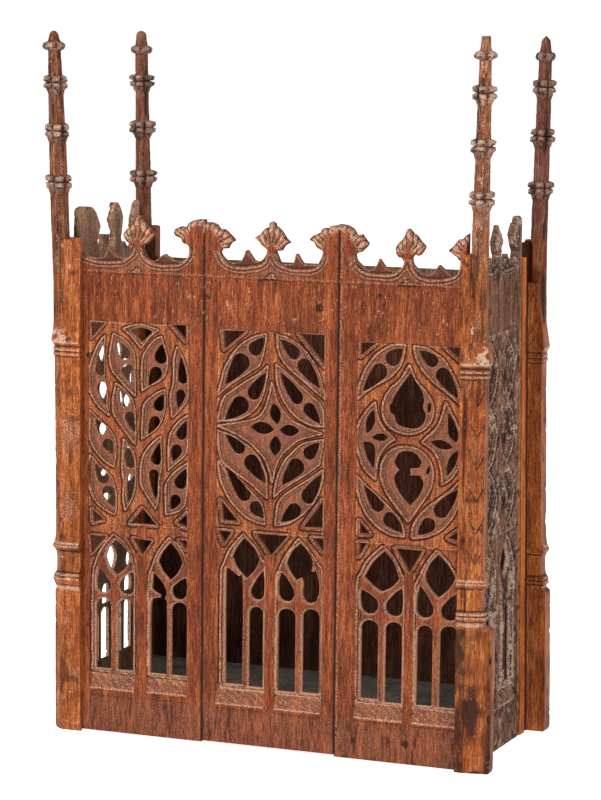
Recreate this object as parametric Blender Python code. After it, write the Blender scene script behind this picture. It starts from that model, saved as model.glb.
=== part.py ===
"""A late Gothic oak reliquary box: pierced panels, corner posts with pinnacles, boarded back and floor.

Metres, +Z up. The front faces -Y, +X is to its right, and the origin is on the ground
under the middle of the box. Tracery and cresting are drawn in millimetres on each panel's
own drawing and carried over to the panel's real width and height.
"""
import math

import bmesh
import bpy
from mathutils import Vector

MM = 0.001

# The box: panels, walls and floor.
BOX_HALF_WIDTH = 226.5 * MM            # outer face of a side wall, from the middle
BOX_DEPTH = 213.6 * MM                 # front face of the panels to the back face of the back boards
GAP = 0.3 * MM                         # between pieces that touch
PANEL_THICKNESS = 8.0 * MM
PANEL_SCALE_Z = 1.0                    # real height of a panel over the height it is drawn at
POCKET_DEPTH = 5.0 * MM                # how far the cusped webs lie behind the ribs
SILL_DEPTH = 4.5 * MM
PANEL_INSET_LEFT = 12.2 * MM           # edge of the row of front panels, in from the outer face of the wall
PANEL_INSET_RIGHT = 7.0 * MM
PANEL_TRIM = 12.3 * MM                 # cut off the right panel so that it fits behind its post
SIDE_PANEL_FRONT = 22.0 * MM           # front edge of a side panel, from the front face
BATTEN_WIDTH = 15.0 * MM
BATTEN_GAP = 5.8 * MM                  # open joint between a batten and its back post
BATTEN_TOP = 510.0 * MM
BEAD_RADIUS = 2.6 * MM
FLOOR_UNDERSIDE = 24.0 * MM
FLOOR_THICKNESS = 16.0 * MM
BACK_TOP = 491.5 * MM
BACK_BOARDS = 6
BACK_THICKNESS = 8.0 * MM

# The posts. What is measured from the wall stands beyond its outer face.
STILE_PROUD = 5.8 * MM                 # front of a stile before the panels' face
STILE_TOP = 527.0 * MM
STILE_INSET_LEFT = 22.2 * MM           # inner edge of the left posts' stiles, in from the wall
STILE_INSET_RIGHT = 10.6 * MM
STILE_INSET_BACK = 11.4 * MM           # the back left post's, which is narrower than the front one's
SHAFT_FROM_WALL_LEFT = 9.6 * MM        # outer face of a post between its bands, from the wall
SHAFT_FROM_WALL_RIGHT = 14.6 * MM
SHAFT_TAPER_LEFT = 3.0 * MM            # how much further out a shaft is at its head than at its foot
SHAFT_TAPER_RIGHT = -1.2 * MM
BASE_FROM_WALL_LEFT = 9.6 * MM         # outer face of a post's base block, from the wall
BASE_FROM_WALL_RIGHT = 25.5 * MM
BASE_FROM_WALL_BACK = 19.5 * MM
POST_RETURN_FRONT = 11.0 * MM          # how far back a front post's outer part reaches
POST_RETURN_BACK = 18.6 * MM
POST_LEG = 21.7 * MM
AXIS_FROM_WALL = 3.5 * MM              # pinnacle axis, from the wall
AXIS_IN = 4.0 * MM                     # pinnacle axis behind the face

# Heights on the posts: foot, bands, collar and broach.
FOOT_ROUND = 4.0 * MM
BASE_TOP = 149.0 * MM
LOWER_BAND = 160.5 * MM
UPPER_BAND = 196.5 * MM
COLLAR = 403.0 * MM
BULGE = 414.5 * MM
BROACH_START = 440.0 * MM
BROACH_END = 482.0 * MM
BAND_PROUD = 3.4 * MM
SCOTIA_DEPTH = 0.8 * MM
# How much higher than the heights above each post's base, bands and collar are.
RAISES_FRONT_LEFT = (3.0 * MM, 4.5 * MM, 4.0 * MM)
RAISES_FRONT_RIGHT = (1.5 * MM, 0.0, 4.0 * MM)
RAISES_BACK_LEFT = (0.0, 0.0, 0.0)
RAISES_BACK_RIGHT = (5.0 * MM, 2.0 * MM, 0.0)

# Sizes that follow from those above.
LEFT_PANEL_EDGE = PANEL_INSET_LEFT - BOX_HALF_WIDTH
RIGHT_PANEL_EDGE = BOX_HALF_WIDTH - PANEL_INSET_RIGHT
FRONT_PANEL_WIDTH = (RIGHT_PANEL_EDGE - LEFT_PANEL_EDGE + PANEL_TRIM - 2.0 * GAP) / 3.0
SIDE_PANEL_WIDTH = BOX_DEPTH - POST_LEG - BATTEN_GAP - BATTEN_WIDTH - GAP - SIDE_PANEL_FRONT
STILE_EDGE_LEFT = BOX_HALF_WIDTH - STILE_INSET_LEFT
STILE_EDGE_RIGHT = BOX_HALF_WIDTH - STILE_INSET_RIGHT
STILE_EDGE_BACK = BOX_HALF_WIDTH - STILE_INSET_BACK
AXIS_OUT = BOX_HALF_WIDTH + AXIS_FROM_WALL

# The pinnacles.
PINNACLE_START = 425.0 * MM
LEAF_COLLARS = (580.8 * MM, 634.7 * MM, 685.8 * MM)
KNOP = 721.1 * MM
PINNACLE_TOP = 741.0 * MM
SHAFT_LOW = 9.6 * MM                   # half width of a shaft across its flats, at its foot
SHAFT_HIGH = 6.0 * MM
COLLAR_RADIUS = 12.6 * MM
KNOP_RADIUS = 11.2 * MM
LEAN_START = 480.0 * MM

# The box stands racked: its back right corner leans inwards as it rises.
RACK_FOOT = 5.0 * MM
RACK_LEVEL = 270.0 * MM

COLLECTION_NAME = "gothic_reliquary"
HELPERS_NAME = "helpers"

OAK_FRONT = (0.40, 0.17, 0.075, 1.0)
OAK_POST = (0.36, 0.155, 0.07, 1.0)
OAK_SIDE = (0.22, 0.12, 0.075, 1.0)
OAK_DARK = (0.075, 0.045, 0.035, 1.0)


# Outlines, in the millimetres of a panel's drawing: x across from the middle of the box,
# z above the ground. A corner is a point; a side's bow is given as points between corners.

def teardrop(tip, centre, radius):
    """A light with one pointed end: the tip, then an arc round the far end."""
    steps = 5 if radius > 6.4 else 4
    dx = tip[0] - centre[0]
    dz = tip[1] - centre[1]
    distance = math.hypot(dx, dz)
    towards_tip = math.atan2(dz, dx)
    half_open = math.acos(min(0.98, radius / distance))
    start = towards_tip + half_open
    sweep = 2.0 * (math.pi - half_open)
    points = [tip]
    for step in range(steps):
        angle = start + sweep * step / (steps - 1)
        points.append((centre[0] + radius * math.cos(angle), centre[1] + radius * math.sin(angle)))
    return points


def leaf(start, end, width):
    """A light pointed at both ends: two bowed sides."""
    dx = end[0] - start[0]
    dz = end[1] - start[1]
    length = math.hypot(dx, dz)
    side = (-dz / length * width / 2.0, dx / length * width / 2.0)
    points = [start]
    for share, bow in ((0.3, 0.85), (0.7, 0.85)):
        points.append((start[0] + dx * share + side[0] * bow, start[1] + dz * share + side[1] * bow))
    points.append(end)
    for share, bow in ((0.7, 0.85), (0.3, 0.85)):
        points.append((start[0] + dx * share - side[0] * bow, start[1] + dz * share - side[1] * bow))
    return points


def lancet(left, right, bottom, top):
    """A tall light with a round head."""
    shoulder = min(7.0, (right - left) * 0.45)
    inset = (right - left) * 0.24
    return [(left, bottom), (right, bottom), (right, top - shoulder), (right - inset, top - 0.6),
            (left + inset, top - 0.6), (left, top - shoulder)]


def bowed(corners, bow):
    """Each edge gets one middle point, pushed out by a share of the edge's length."""
    area = sum(a[0] * b[1] - b[0] * a[1] for a, b in zip(corners, corners[1:] + corners[:1]))
    turn = 1.0 if area > 0.0 else -1.0
    points = []
    for a, b in zip(corners, corners[1:] + corners[:1]):
        dx = b[0] - a[0]
        dz = b[1] - a[1]
        points.append(a)
        points.append(((a[0] + b[0]) / 2.0 + dz * bow * turn, (a[1] + b[1]) / 2.0 - dx * bow * turn))
    return points


def between(a, b, share_x, share_z):
    return (a[0] + (b[0] - a[0]) * share_x, a[1] + (b[1] - a[1]) * share_z)


def half_palmette(joint_top, crown, tip, lobe, neck):
    """Half a leaf on the edge of a panel, from the joint down to its neck."""
    return [joint_top, crown, between(crown, tip, 0.23, 0.32), between(crown, tip, 0.5, 0.4), tip,
            between(tip, lobe, 0.55, 0.45), lobe, neck]


def hollow(neck, floor, cusp, next_floor, next_neck):
    """Two scooped hollows with a cusp standing between them."""
    return [between(neck, floor, 0.35, 0.68), floor, between(floor, cusp, 0.55, 0.22), cusp,
            between(next_floor, cusp, 0.55, 0.22), next_floor, between(next_neck, next_floor, 0.35, 0.68)]


def fleuron(neck_left, lobe_left, tip_left, top, tip_right, lobe_right, neck_right):
    """A leaf on a stalk in the middle of a panel's crest."""
    return [neck_left, lobe_left, between(lobe_left, tip_left, 0.45, 0.55), tip_left,
            between(tip_left, top, 0.42, 0.42), between(tip_left, top, 0.75, 0.72), top,
            between(tip_right, top, 0.75, 0.72), between(tip_right, top, 0.42, 0.42), tip_right,
            between(lobe_right, tip_right, 0.45, 0.55), lobe_right, neck_right]


def left_drawing():
    """The left panel: a branching tree of mouchettes over two arches."""
    lights = [
        teardrop((-178, 416), (-180.5, 388), 6), teardrop((-173.3, 350), (-178.5, 369), 6.5),
        teardrop((-162.5, 420), (-153.5, 407), 7), teardrop((-142.5, 373), (-149.5, 389), 7),
        teardrop((-158.5, 369), (-152.5, 356.5), 6), teardrop((-139.8, 323), (-147, 340), 6),
        teardrop((-185.6, 336), (-178.4, 325.5), 6), teardrop((-166.5, 299.5), (-172, 309.5), 6.3),
        teardrop((-186.3, 288), (-177.5, 274.5), 7), teardrop((-165, 243), (-171, 258), 7.5),
        teardrop((-150, 310), (-145.8, 291.5), 5.5), teardrop((-147.2, 248.5), (-144.3, 275.5), 5),
        teardrop((-110.3, 419.3), (-112, 405.5), 7.5), teardrop((-125.5, 374), (-117.5, 388), 7),
        teardrop((-108.8, 366.7), (-114, 354.5), 6.5), teardrop((-125.5, 323), (-118.2, 336.5), 6.3),
        teardrop((-111.7, 316), (-116.8, 297.5), 6.3), teardrop((-117, 254), (-119.5, 281), 5.5),
        teardrop((-89.5, 407), (-87, 384), 5.5), teardrop((-92, 352), (-89.5, 367), 5.5),
        teardrop((-82, 340), (-88.5, 325.5), 6), teardrop((-97.5, 295.7), (-93.5, 308.5), 6),
        teardrop((-81.6, 290), (-89.2, 274.5), 7), teardrop((-99.4, 245), (-94.5, 255.5), 6),
        [(-190, 438), (-174, 439), (-189, 423)], [(-98, 440), (-82.5, 440), (-82.5, 424)],
        [(-145.5, 431), (-133, 435), (-120, 431), (-132.7, 419.6)],
        [(-188, 240), (-175, 229.7), (-186.8, 226)], [(-130.5, 245), (-144, 228), (-114, 228)],
        [(-80, 243), (-90.7, 232.6), (-80, 227.5)],
        [(-191, 212), (-172, 212), (-189, 192.6)], [(-141, 212), (-120, 211), (-130.7, 195)],
        [(-89, 214), (-80, 214), (-80, 205)],
        bowed([(-162.5, 208.5), (-174, 190), (-161, 171), (-145, 190)], 0.13),
        teardrop((-182, 177), (-176, 158.5), 8), teardrop((-141.7, 175.6), (-149.3, 159.8), 9),
        lancet(-184.4, -167.5, 69, 145), lancet(-159.4, -141.7, 69, 145),
        bowed([(-99.7, 210.3), (-113.5, 189.4), (-99.7, 170), (-86, 190)], 0.13),
        [(-119, 177), (-120.7, 160), (-121.5, 69), (-103.5, 69), (-103.5, 142), (-105.5, 150), (-104, 157),
         (-108, 166)],
        teardrop((-81.2, 174), (-89.2, 159), 8.6), lancet(-98, -80, 69, 147),
    ]
    fields = [
        [(-173.5, 425), (-181, 415), (-188, 400), (-191, 383), (-190, 366), (-182, 352), (-168.5, 341.5),
         (-171.5, 354), (-171.5, 368), (-174, 382), (-175, 404)],
        [(-191, 345), (-191, 330), (-190, 315), (-184, 303), (-175, 294), (-163, 287), (-161, 300),
         (-162, 315),
         (-167, 325), (-178, 334)],
        [(-190, 298), (-192, 280), (-191, 265), (-186, 253), (-177, 243), (-162, 236), (-160, 250),
         (-164, 272),
         (-172, 281), (-182, 289)],
        [(-164, 427), (-155, 424), (-146, 417), (-140.5, 408), (-139.5, 392), (-139, 364), (-147, 370.5),
         (-156, 379), (-165, 390), (-168, 404)],
        [(-161, 375), (-153, 370), (-144, 361), (-139.5, 349), (-138.5, 313), (-147, 322), (-156, 333),
         (-163, 344), (-164, 358)],
        [(-151.5, 317), (-144, 308), (-139.5, 298), (-138.5, 270), (-142, 256), (-150, 242), (-152, 256),
         (-151.5, 272), (-153.5, 290)],
        [(-109.5, 427), (-119, 421), (-127, 411), (-131, 398), (-131, 370), (-122, 376), (-110, 382),
         (-104, 392), (-102.5, 405)],
        [(-106, 372), (-114, 368), (-124, 360), (-129.5, 350), (-131, 319), (-122, 325), (-112, 334),
         (-107, 345), (-105, 358)],
        [(-110, 322), (-118, 316), (-126, 306), (-131, 296), (-132, 280), (-130, 267), (-115, 246),
         (-112, 260), (-112, 274), (-109, 298)],
        [(-92, 417), (-95, 405), (-95, 392), (-96, 378), (-98.5, 364), (-97, 343), (-88, 352), (-81, 362),
         (-79.5, 378), (-82, 398)],
        [(-79, 346), (-88, 340), (-97, 329), (-100.5, 315), (-100.5, 288.5), (-92, 296.5), (-84, 303),
         (-80, 312)],
        [(-79, 296), (-88, 290), (-97, 282), (-103.5, 270), (-103, 241), (-95, 243.2), (-87, 247),
         (-81, 258)],
        [(-153, 433.5), (-133, 438.2), (-113, 433.5), (-123, 426), (-132.7, 414.5), (-142, 425)],
        [(-163.5, 214.5), (-152, 207), (-143.5, 195), (-140, 180), (-139, 160), (-139, 66.5), (-187, 66.5),
         (-187, 165), (-184, 182), (-176, 199)],
        [(-99.7, 216), (-88, 206), (-80.5, 192), (-78.5, 176), (-78.5, 66.5), (-122.5, 66.5), (-122.5, 165),
         (-120, 180), (-112, 200)],
    ]
    crest = [(-205, 510), (-199, 503), (-190, 502), (-179, 503.5), (-172, 511), (-166, 503.5), (-158, 502.5)]
    crest += [(-146, 507)]
    crest += fleuron((-141, 514), (-147, 521), (-152.5, 533), (-134, 553), (-119, 533), (-126, 521),
                     (-131, 514))
    crest += hollow((-131, 514), (-121, 505), (-106.5, 513.5), (-92, 506), (-79, 518))
    crest += half_palmette((-64, 550), (-73, 549), (-97, 536), (-85, 525.5), (-79, 519))[::-1]
    sills = [(-189, -138, 49), (-124, -79, 50)]
    return {"left": -208.5, "base": 2.0, "lights": lights, "fields": fields, "crest": crest, "sills": sills}


def middle_drawing():
    """The middle panel: eight mouchettes round a four-pointed star, over two arches."""
    lights = [
        teardrop((5, 432.3), (-7, 419.5), 7.5), teardrop((-39.3, 380.7), (-22.5, 404.5), 9.5),
        teardrop((6.7, 396.7), (-8, 374), 7.5), teardrop((-39.6, 343.8), (-23, 360), 9.5),
        teardrop((20.4, 430.7), (35.4, 417.5), 7), teardrop((64.3, 382), (47, 404.3), 8),
        teardrop((20.4, 396.7), (39, 371.5), 7), teardrop((65, 345.4), (52.8, 360), 7),
        teardrop((-39.3, 329.7), (-24, 316), 7), teardrop((6.7, 279.7), (-9.6, 300.5), 9),
        teardrop((-37.5, 295.7), (-18.3, 268), 8), teardrop((6, 243.5), (-4.5, 253.6), 7.5),
        teardrop((64.3, 327), (53.5, 315), 7), teardrop((23.5, 280), (39, 299.5), 9),
        teardrop((68, 295), (52.8, 270.3), 8), teardrop((22.8, 241.3), (37.5, 254), 8),
        leaf((13.5, 364.5), (18, 342.5), 12.4), leaf((-11.3, 338.5), (14.6, 337), 12.8),
        leaf((20.3, 337), (42.2, 337), 12), leaf((16.5, 331), (15.5, 309.4), 13),
        [(-41.4, 437), (-16, 437.7), (-39.3, 418)], [(42.6, 437.7), (70, 437.7), (70, 406.5)],
        [(-42, 260), (-40, 239), (-22.6, 238.7)], [(70, 267.4), (70, 239), (49, 238.4)],
        [(-45, 227.7), (-30, 227.7), (-38.4, 215)], [(-3, 227.7), (31.8, 227.7), (13.2, 205.5)],
        [(59, 227.7), (71, 227.7), (71, 214.4)],
        bowed([(-17, 222), (-30, 201.5), (-14.5, 179), (0.3, 200.6)], 0.13),
        [(-36, 189.4), (-37.5, 170), (-37, 66), (-18.5, 66), (-18.5, 172), (-24, 181)],
        teardrop((5.2, 189.4), (-1.8, 165.5), 7.8), lancet(-11, 5, 65, 150),
        [(45.2, 220.8), (36, 212), (29.7, 199), (34, 190), (41, 181.3), (44.5, 184), (47, 184.5),
         (48.5, 179),
         (48, 168), (51, 161), (57, 158.5), (63, 161.5), (66, 172), (65, 184), (61.5, 195), (60, 191.5),
         (57.3, 193), (58.5, 202), (54, 212)],
        teardrop((24, 189.4), (30.4, 167.3), 8.7), lancet(21.6, 40.3, 63.5, 151),
        lancet(48.4, 66.8, 64.4, 152.6),
    ]
    fields = [
        [(7, 435.5), (-8, 431.5), (-24, 420), (-37, 401), (-43, 382), (-45.5, 370.5), (-37, 378.5),
         (-23, 388),
         (-10, 397), (1, 406)],
        [(18.5, 436), (34, 431), (50, 419), (63, 401), (69, 383), (71, 372.5), (62, 379.5), (48, 390.5),
         (33, 402), (22, 415)],
        [(8.5, 402.5), (0, 394.5), (-12, 387), (-26, 377.5), (-40, 366), (-46, 343), (-25, 346), (-9, 354),
         (1, 367), (6, 383)],
        [(18, 405), (28, 397.5), (43, 385.5), (57, 374), (67.5, 364), (70, 344), (54, 346), (38.5, 354.5),
         (27, 368), (20, 386)],
        [(-45.5, 332), (-26, 326), (-7, 314), (4, 299), (8.5, 284), (9, 266), (0, 273), (-13, 283),
         (-30, 293),
         (-42, 304)],
        [(69.5, 330), (47, 323.5), (31, 308.5), (20.5, 288), (17.5, 268), (24.5, 275.5), (36, 283.5),
         (53, 295), (66, 305)],
        [(-44.5, 300.5), (-33, 286), (-16, 276), (-4, 266.5), (4, 257), (7, 238.5), (-10, 243), (-25, 254),
         (-37, 270), (-43, 286)],
        [(70, 299), (56, 289), (39.5, 277.5), (26.5, 268), (20.5, 256), (18.5, 238), (34, 242.5), (50, 254),
         (63, 270), (69, 286)],
        [(13.5, 386), (18.5, 370), (26, 357), (40, 345.5), (68, 336.5), (43, 328.5), (26, 313.5), (18, 299),
         (14.5, 283), (11, 297), (3, 311), (-18, 327.5), (-45, 337.5), (-24, 342), (-3, 348), (6, 358),
         (10.5, 371)],
        [(-16.7, 226.5), (-4, 214), (4, 200), (7, 185), (7, 61.5), (-41, 61.5), (-41, 175), (-38.5, 192),
         (-31, 209)],
        [(44.5, 226), (57, 213), (66, 200), (70, 183), (70, 60.5), (20.5, 60.5), (20.5, 175), (23, 190),
         (32, 209)],
    ]
    crest = half_palmette((-61.5, 548), (-50, 546), (-30, 531), (-37, 521.5), (-45, 519))
    crest += hollow((-45, 519), (-30, 507), (-15, 521), (-4, 509.3), (7, 520))
    crest += fleuron((7.3, 520.5), (2, 524.5), (-7, 533), (11.5, 551), (31.5, 530), (22, 521.5),
                     (15.8, 520.5))
    crest += hollow((15.8, 520.5), (25, 508), (39, 519.5), (55, 508.5), (67.5, 521))
    crest += half_palmette((85.5, 551), (68, 546), (53, 534.5), (60.5, 525.5), (67.5, 521.5))[::-1]
    sills = [(-46, 8, 46), (19.5, 71, 46)]
    return {"left": -61.5, "base": 3.5, "lights": lights, "fields": fields, "crest": crest, "sills": sills}


def right_drawing():
    """The right panel: two pointed rings, one over the other, in an oval, over two arches."""
    lights = [
        teardrop((152.5, 428), (141.6, 417.5), 8), teardrop((110.6, 382), (127.5, 403), 8.5),
        teardrop((169.6, 426.8), (182.6, 417.5), 7), teardrop((211.2, 380.4), (195, 403), 8),
        teardrop((112.3, 287), (127.5, 267), 7.5), teardrop((156.5, 239.6), (141.3, 252.3), 8),
        teardrop((213, 288.4), (195, 266), 8), teardrop((170.6, 239), (181.9, 250), 7.5),
        leaf((122, 364), (115, 339), 9.5), leaf((120.3, 335.5), (138.4, 337), 8),
        [(111, 330), (116, 331), (122.5, 329), (124.5, 320), (123.2, 303), (115, 315)],
        [(201, 366), (200.5, 353), (202, 342), (210, 335.5), (212, 344), (208, 356)],
        leaf((183, 334.8), (206.5, 330.6), 9),
        [(212.3, 328.3), (205, 323), (200.7, 314), (200.7, 301.4), (207, 309), (211, 318)],
        [(161.2, 404.3), (150, 389), (143, 378), (141.5, 373.5), (138.4, 369), (140, 361.8), (143.5, 359.5),
         (147, 351), (154, 348), (166, 347.5), (173.5, 351.5), (177.3, 361), (174.3, 369), (175.2, 378),
         (171, 391)],
        leaf((181.2, 375), (180.5, 364), 4.5), leaf((182.5, 310.5), (179.5, 301), 4),
        [(158, 324), (149, 321), (144.2, 312), (147, 307), (150, 304), (145.5, 299), (145, 292), (151, 280),
         (162.3, 268), (172, 280), (176, 292), (172, 300), (162, 299.5), (162, 306.5), (171, 307.5),
         (174, 314),
         (167, 322)],
        [(108.7, 432.3), (124.6, 432.6), (108.7, 419)], [(199, 432.3), (214.2, 432.3), (213.8, 420.3)],
        [(110, 249.3), (110, 236.7), (121, 236.7)], [(215.7, 247), (205, 239), (213.8, 236.7)],
        [(109.7, 227), (117.7, 227), (109.7, 213.5)], [(149, 224), (177.4, 224), (163.7, 199.8)],
        bowed([(136.3, 220), (114.5, 191.8), (133.5, 177.6), (152, 191.8)], 0.13),
        teardrop((111.3, 178), (120.6, 162.8), 9.3), teardrop((155.6, 183), (147.4, 162.7), 9.6),
        lancet(112, 130.2, 65, 147), lancet(138, 156.5, 63, 147),
        bowed([(193.2, 220.8), (179.8, 196.6), (194, 176.5), (212, 198.2)], 0.13),
        teardrop((174.2, 187), (180, 163.2), 8.8), teardrop((215.3, 183), (206.2, 163), 9.4),
        lancet(172, 188.4, 63.5, 146.6), lancet(196.3, 215.8, 63.5, 147.7),
    ]
    fields = [
        [(155.5, 431.5), (141, 430), (126, 420), (114, 403), (108, 388), (107, 376), (117, 384.5),
         (130, 393),
         (143, 401.5), (152, 414)],
        [(165.5, 431), (180, 429), (195, 420), (207, 403), (213.5, 388), (214.6, 376), (204, 385),
         (190, 394),
         (177, 406), (168.5, 419)],
        [(125, 372), (127.5, 358), (133, 347), (146, 336), (137, 329), (129.5, 318), (126.5, 305),
         (126, 294),
         (114, 306), (107.5, 322), (106.5, 338), (111, 355)],
        [(200, 376), (196.5, 362), (191, 350), (176, 335), (187, 328), (194, 317), (197, 303), (197, 293),
         (207, 301), (213.5, 315), (215.5, 333), (213, 352)],
        [(160.5, 411), (168, 396), (178, 386), (185.5, 374), (185, 360), (177, 348.5), (160, 342.5),
         (143, 347), (134.5, 358), (134, 372), (141, 386), (152, 396)],
        [(162, 253), (172, 268), (182, 283), (187, 299), (184, 315), (174, 325), (159, 328.5), (145, 325),
         (135.5, 315), (132.5, 300), (138, 283), (150, 267)],
        [(107, 295), (118, 284), (132, 273.5), (146, 261), (155, 250), (157.5, 237), (143, 239), (128, 247),
         (116, 260), (108.5, 277)],
        [(216, 297), (205, 286), (190, 274.5), (176, 261.5), (168, 249), (166.5, 236.5), (182, 239.5),
         (196, 247), (208, 260), (215, 278)],
        [(135.5, 225), (148, 212), (155, 198), (158, 180), (158, 60.5), (108.5, 60.5), (108.5, 178),
         (112, 195), (122, 212)],
        [(193, 225), (206, 212), (214.5, 198), (217.5, 180), (217.5, 60.5), (170.5, 60.5), (170.5, 175),
         (173.5, 192), (182, 210)],
    ]
    crest = half_palmette((85.5, 551), (99, 546), (115, 532), (107, 523.5), (101.5, 520))
    crest += hollow((101.5, 520), (115, 506.5), (127, 518), (143, 506), (153, 517))
    crest += fleuron((153.5, 517.5), (148, 520), (144.3, 530), (157.5, 549.5), (175, 531), (169, 521.5),
                     (161.5, 518))
    crest += hollow((161.5, 518), (177, 504.5), (190, 514), (203, 504), (212, 515))
    crest += half_palmette((232.5, 548), (218, 546), (200, 529), (209, 519), (212, 516))[::-1]
    sills = [(106.5, 159, 46), (169.5, 220, 46)]
    return {"left": 85.5, "base": 1.5, "lights": lights, "fields": fields, "crest": crest, "sills": sills}


def right_side_crest():
    crest = half_palmette((0.3, 546), (12, 545), (33, 532), (25, 522), (17.5, 519))
    crest += hollow((17.5, 519), (29, 507), (40, 519), (53, 508), (62, 519))
    crest += fleuron((62.3, 519.5), (58.5, 523), (54.5, 533), (67.5, 550), (84, 532), (77, 524),
                     (70.7, 519.5))
    crest += hollow((70.7, 519.5), (84, 508), (99, 519), (115, 507), (129.5, 519))
    crest += half_palmette((146.7, 554.5), (135, 554), (115.5, 537), (123, 525), (129.5, 519))[::-1]
    return crest


def right_side_drawing():
    """A side panel: two chains of pointed ovals over two arches. Its drawing runs from 0 to 147."""
    lights = []
    fields = []
    for centre, mirror in ((44.0, 1.0), (103.0, -1.0)):
        for row in range(3):
            low = 236.0 + 66.0 * row
            fields.append([(centre, low), (centre + 18.0, low + 15.0), (centre + 25.0, low + 31.0),
                           (centre + 18.0, low + 47.0), (centre, low + 62.0), (centre - 18.0, low + 47.0),
                           (centre - 25.0, low + 31.0), (centre - 18.0, low + 15.0)])
            lights.append(leaf((centre + 3.0 * mirror, low + 55.0), (centre + 6.0 * mirror, low + 30.5),
                               15.0))
            lights.append(leaf((centre - 2.0 * mirror, low + 7.0), (centre - 6.0 * mirror, low + 28.5),
                               15.0))
        fields.append([(centre, 224), (centre + 14, 210), (centre + 22, 194), (centre + 24, 176),
                       (centre + 24, 62), (centre - 24, 62), (centre - 24, 176), (centre - 22, 194),
                       (centre - 14, 210)])
        lights.append(bowed([(centre, 217), (centre - 14, 198), (centre, 179), (centre + 14, 198)], 0.12))
        lights.append(teardrop((centre - 21, 186), (centre - 13, 165), 8.5))
        lights.append(teardrop((centre + 21, 186), (centre + 13, 165), 8.5))
        lights.append(lancet(centre - 21.5, centre - 4, 66, 150))
        lights.append(lancet(centre + 4, centre + 21.5, 66, 150))
    sills = [(19, 69, 46), (78, 128, 46)]
    return {"left": 0.0, "base": 1.0, "lights": lights, "fields": fields, "crest": right_side_crest(),
            "sills": sills}


def left_side_drawing():
    """The other side panel, plainer: scattered leaf-shaped lights in sunk fields over four lancets."""
    lights = [
        leaf((92, 387), (92, 412), 17), leaf((87.5, 346), (87.5, 371), 22), leaf((51, 384), (51, 406), 16),
        leaf((24, 380.5), (47, 380.5), 10), leaf((16, 351), (16, 372), 14), leaf((28, 330), (28, 348), 19),
        leaf((88, 306), (88, 324), 21), leaf((18, 287), (30, 287), 6), leaf((46, 331), (46, 352), 14),
        leaf((70, 286), (80, 286), 6), leaf((77, 266.5), (95, 266.5), 9), leaf((12, 252.5), (33, 252.5), 10),
        leaf((69, 238), (95, 238), 10), leaf((112, 384), (112, 406), 14), leaf((112, 340), (112, 362), 14),
        leaf((111, 296), (111, 318), 14), leaf((110, 252), (110, 274), 14), leaf((46, 290), (46, 312), 14),
        bowed([(69, 186), (54, 168), (72, 145.5), (85, 164)], 0.13), leaf((24, 150), (24, 172), 15),
        leaf((106, 148), (106, 176), 16), lancet(73.5, 91, 121.5, 143.5), lancet(17.3, 35.3, 126, 143.5),
        lancet(18.8, 36.2, 61, 117.5), lancet(43, 60, 61, 117.5), lancet(74.6, 93.7, 61, 117.5),
        lancet(100, 118, 61, 117.5),
    ]
    fields = [
        [(6.5, 236), (59.5, 228), (59.5, 414), (48, 430), (20, 430), (6.5, 414)],
        [(64.5, 228), (124, 236), (124, 414), (108, 430), (80, 430), (64.5, 414)],
        [(6.5, 56), (62, 56), (62, 140), (46, 143), (46, 192), (34, 204), (18, 204), (6.5, 186)],
        [(66, 56), (124, 56), (124, 186), (110, 204), (80, 204), (70, 192), (50, 196), (50, 144), (66, 141)],
    ]
    sills = [(9, 61, 44), (68, 122, 44)]
    crest = [(0.3, 556), (3, 557), (8, 552), (13, 543), (16.5, 535.5), (14, 529), (8, 524), (10, 510),
             (20, 506),
             (30, 508), (36, 514), (42, 510), (46.5, 519), (44, 525), (40.3, 540), (46, 550), (53, 556),
             (57, 557.5), (62, 553), (68, 545), (71, 538.6), (66, 530), (61, 524), (59.6, 516), (64, 508),
             (70, 506), (74, 510), (75.5, 524), (88, 525), (90, 512), (96, 508), (103, 516), (103, 522),
             (100, 527),
             (96, 534), (101, 541), (107, 549), (114, 554), (121, 556), (135, 557), (146.7, 556)]
    return {"left": 0.0, "base": 1.0, "lights": lights, "fields": fields, "crest": crest, "sills": sills}


DRAWING_WIDTH = 147.0
SILL_HEAD = 66.0
SILL_OVERCUT = 2.0 * MM
FIELD_TOLERANCE = 1.2                  # in the millimetres of a drawing
OUTLINE_TOLERANCE = 0.7


# Blender helpers.

def clear_scene():
    for obj in list(bpy.data.objects):
        bpy.data.objects.remove(obj, do_unlink=True)


def new_collection(name):
    collection = bpy.data.collections.new(name)
    bpy.context.scene.collection.children.link(collection)
    return collection


def oak(name, color, roughness):
    material = bpy.data.materials.new(name)
    material.use_nodes = True
    shader = material.node_tree.nodes["Principled BSDF"]
    shader.inputs["Base Color"].default_value = color
    shader.inputs["Roughness"].default_value = roughness
    shader.inputs["Metallic"].default_value = 0.0
    material.diffuse_color = color
    return material


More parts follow.
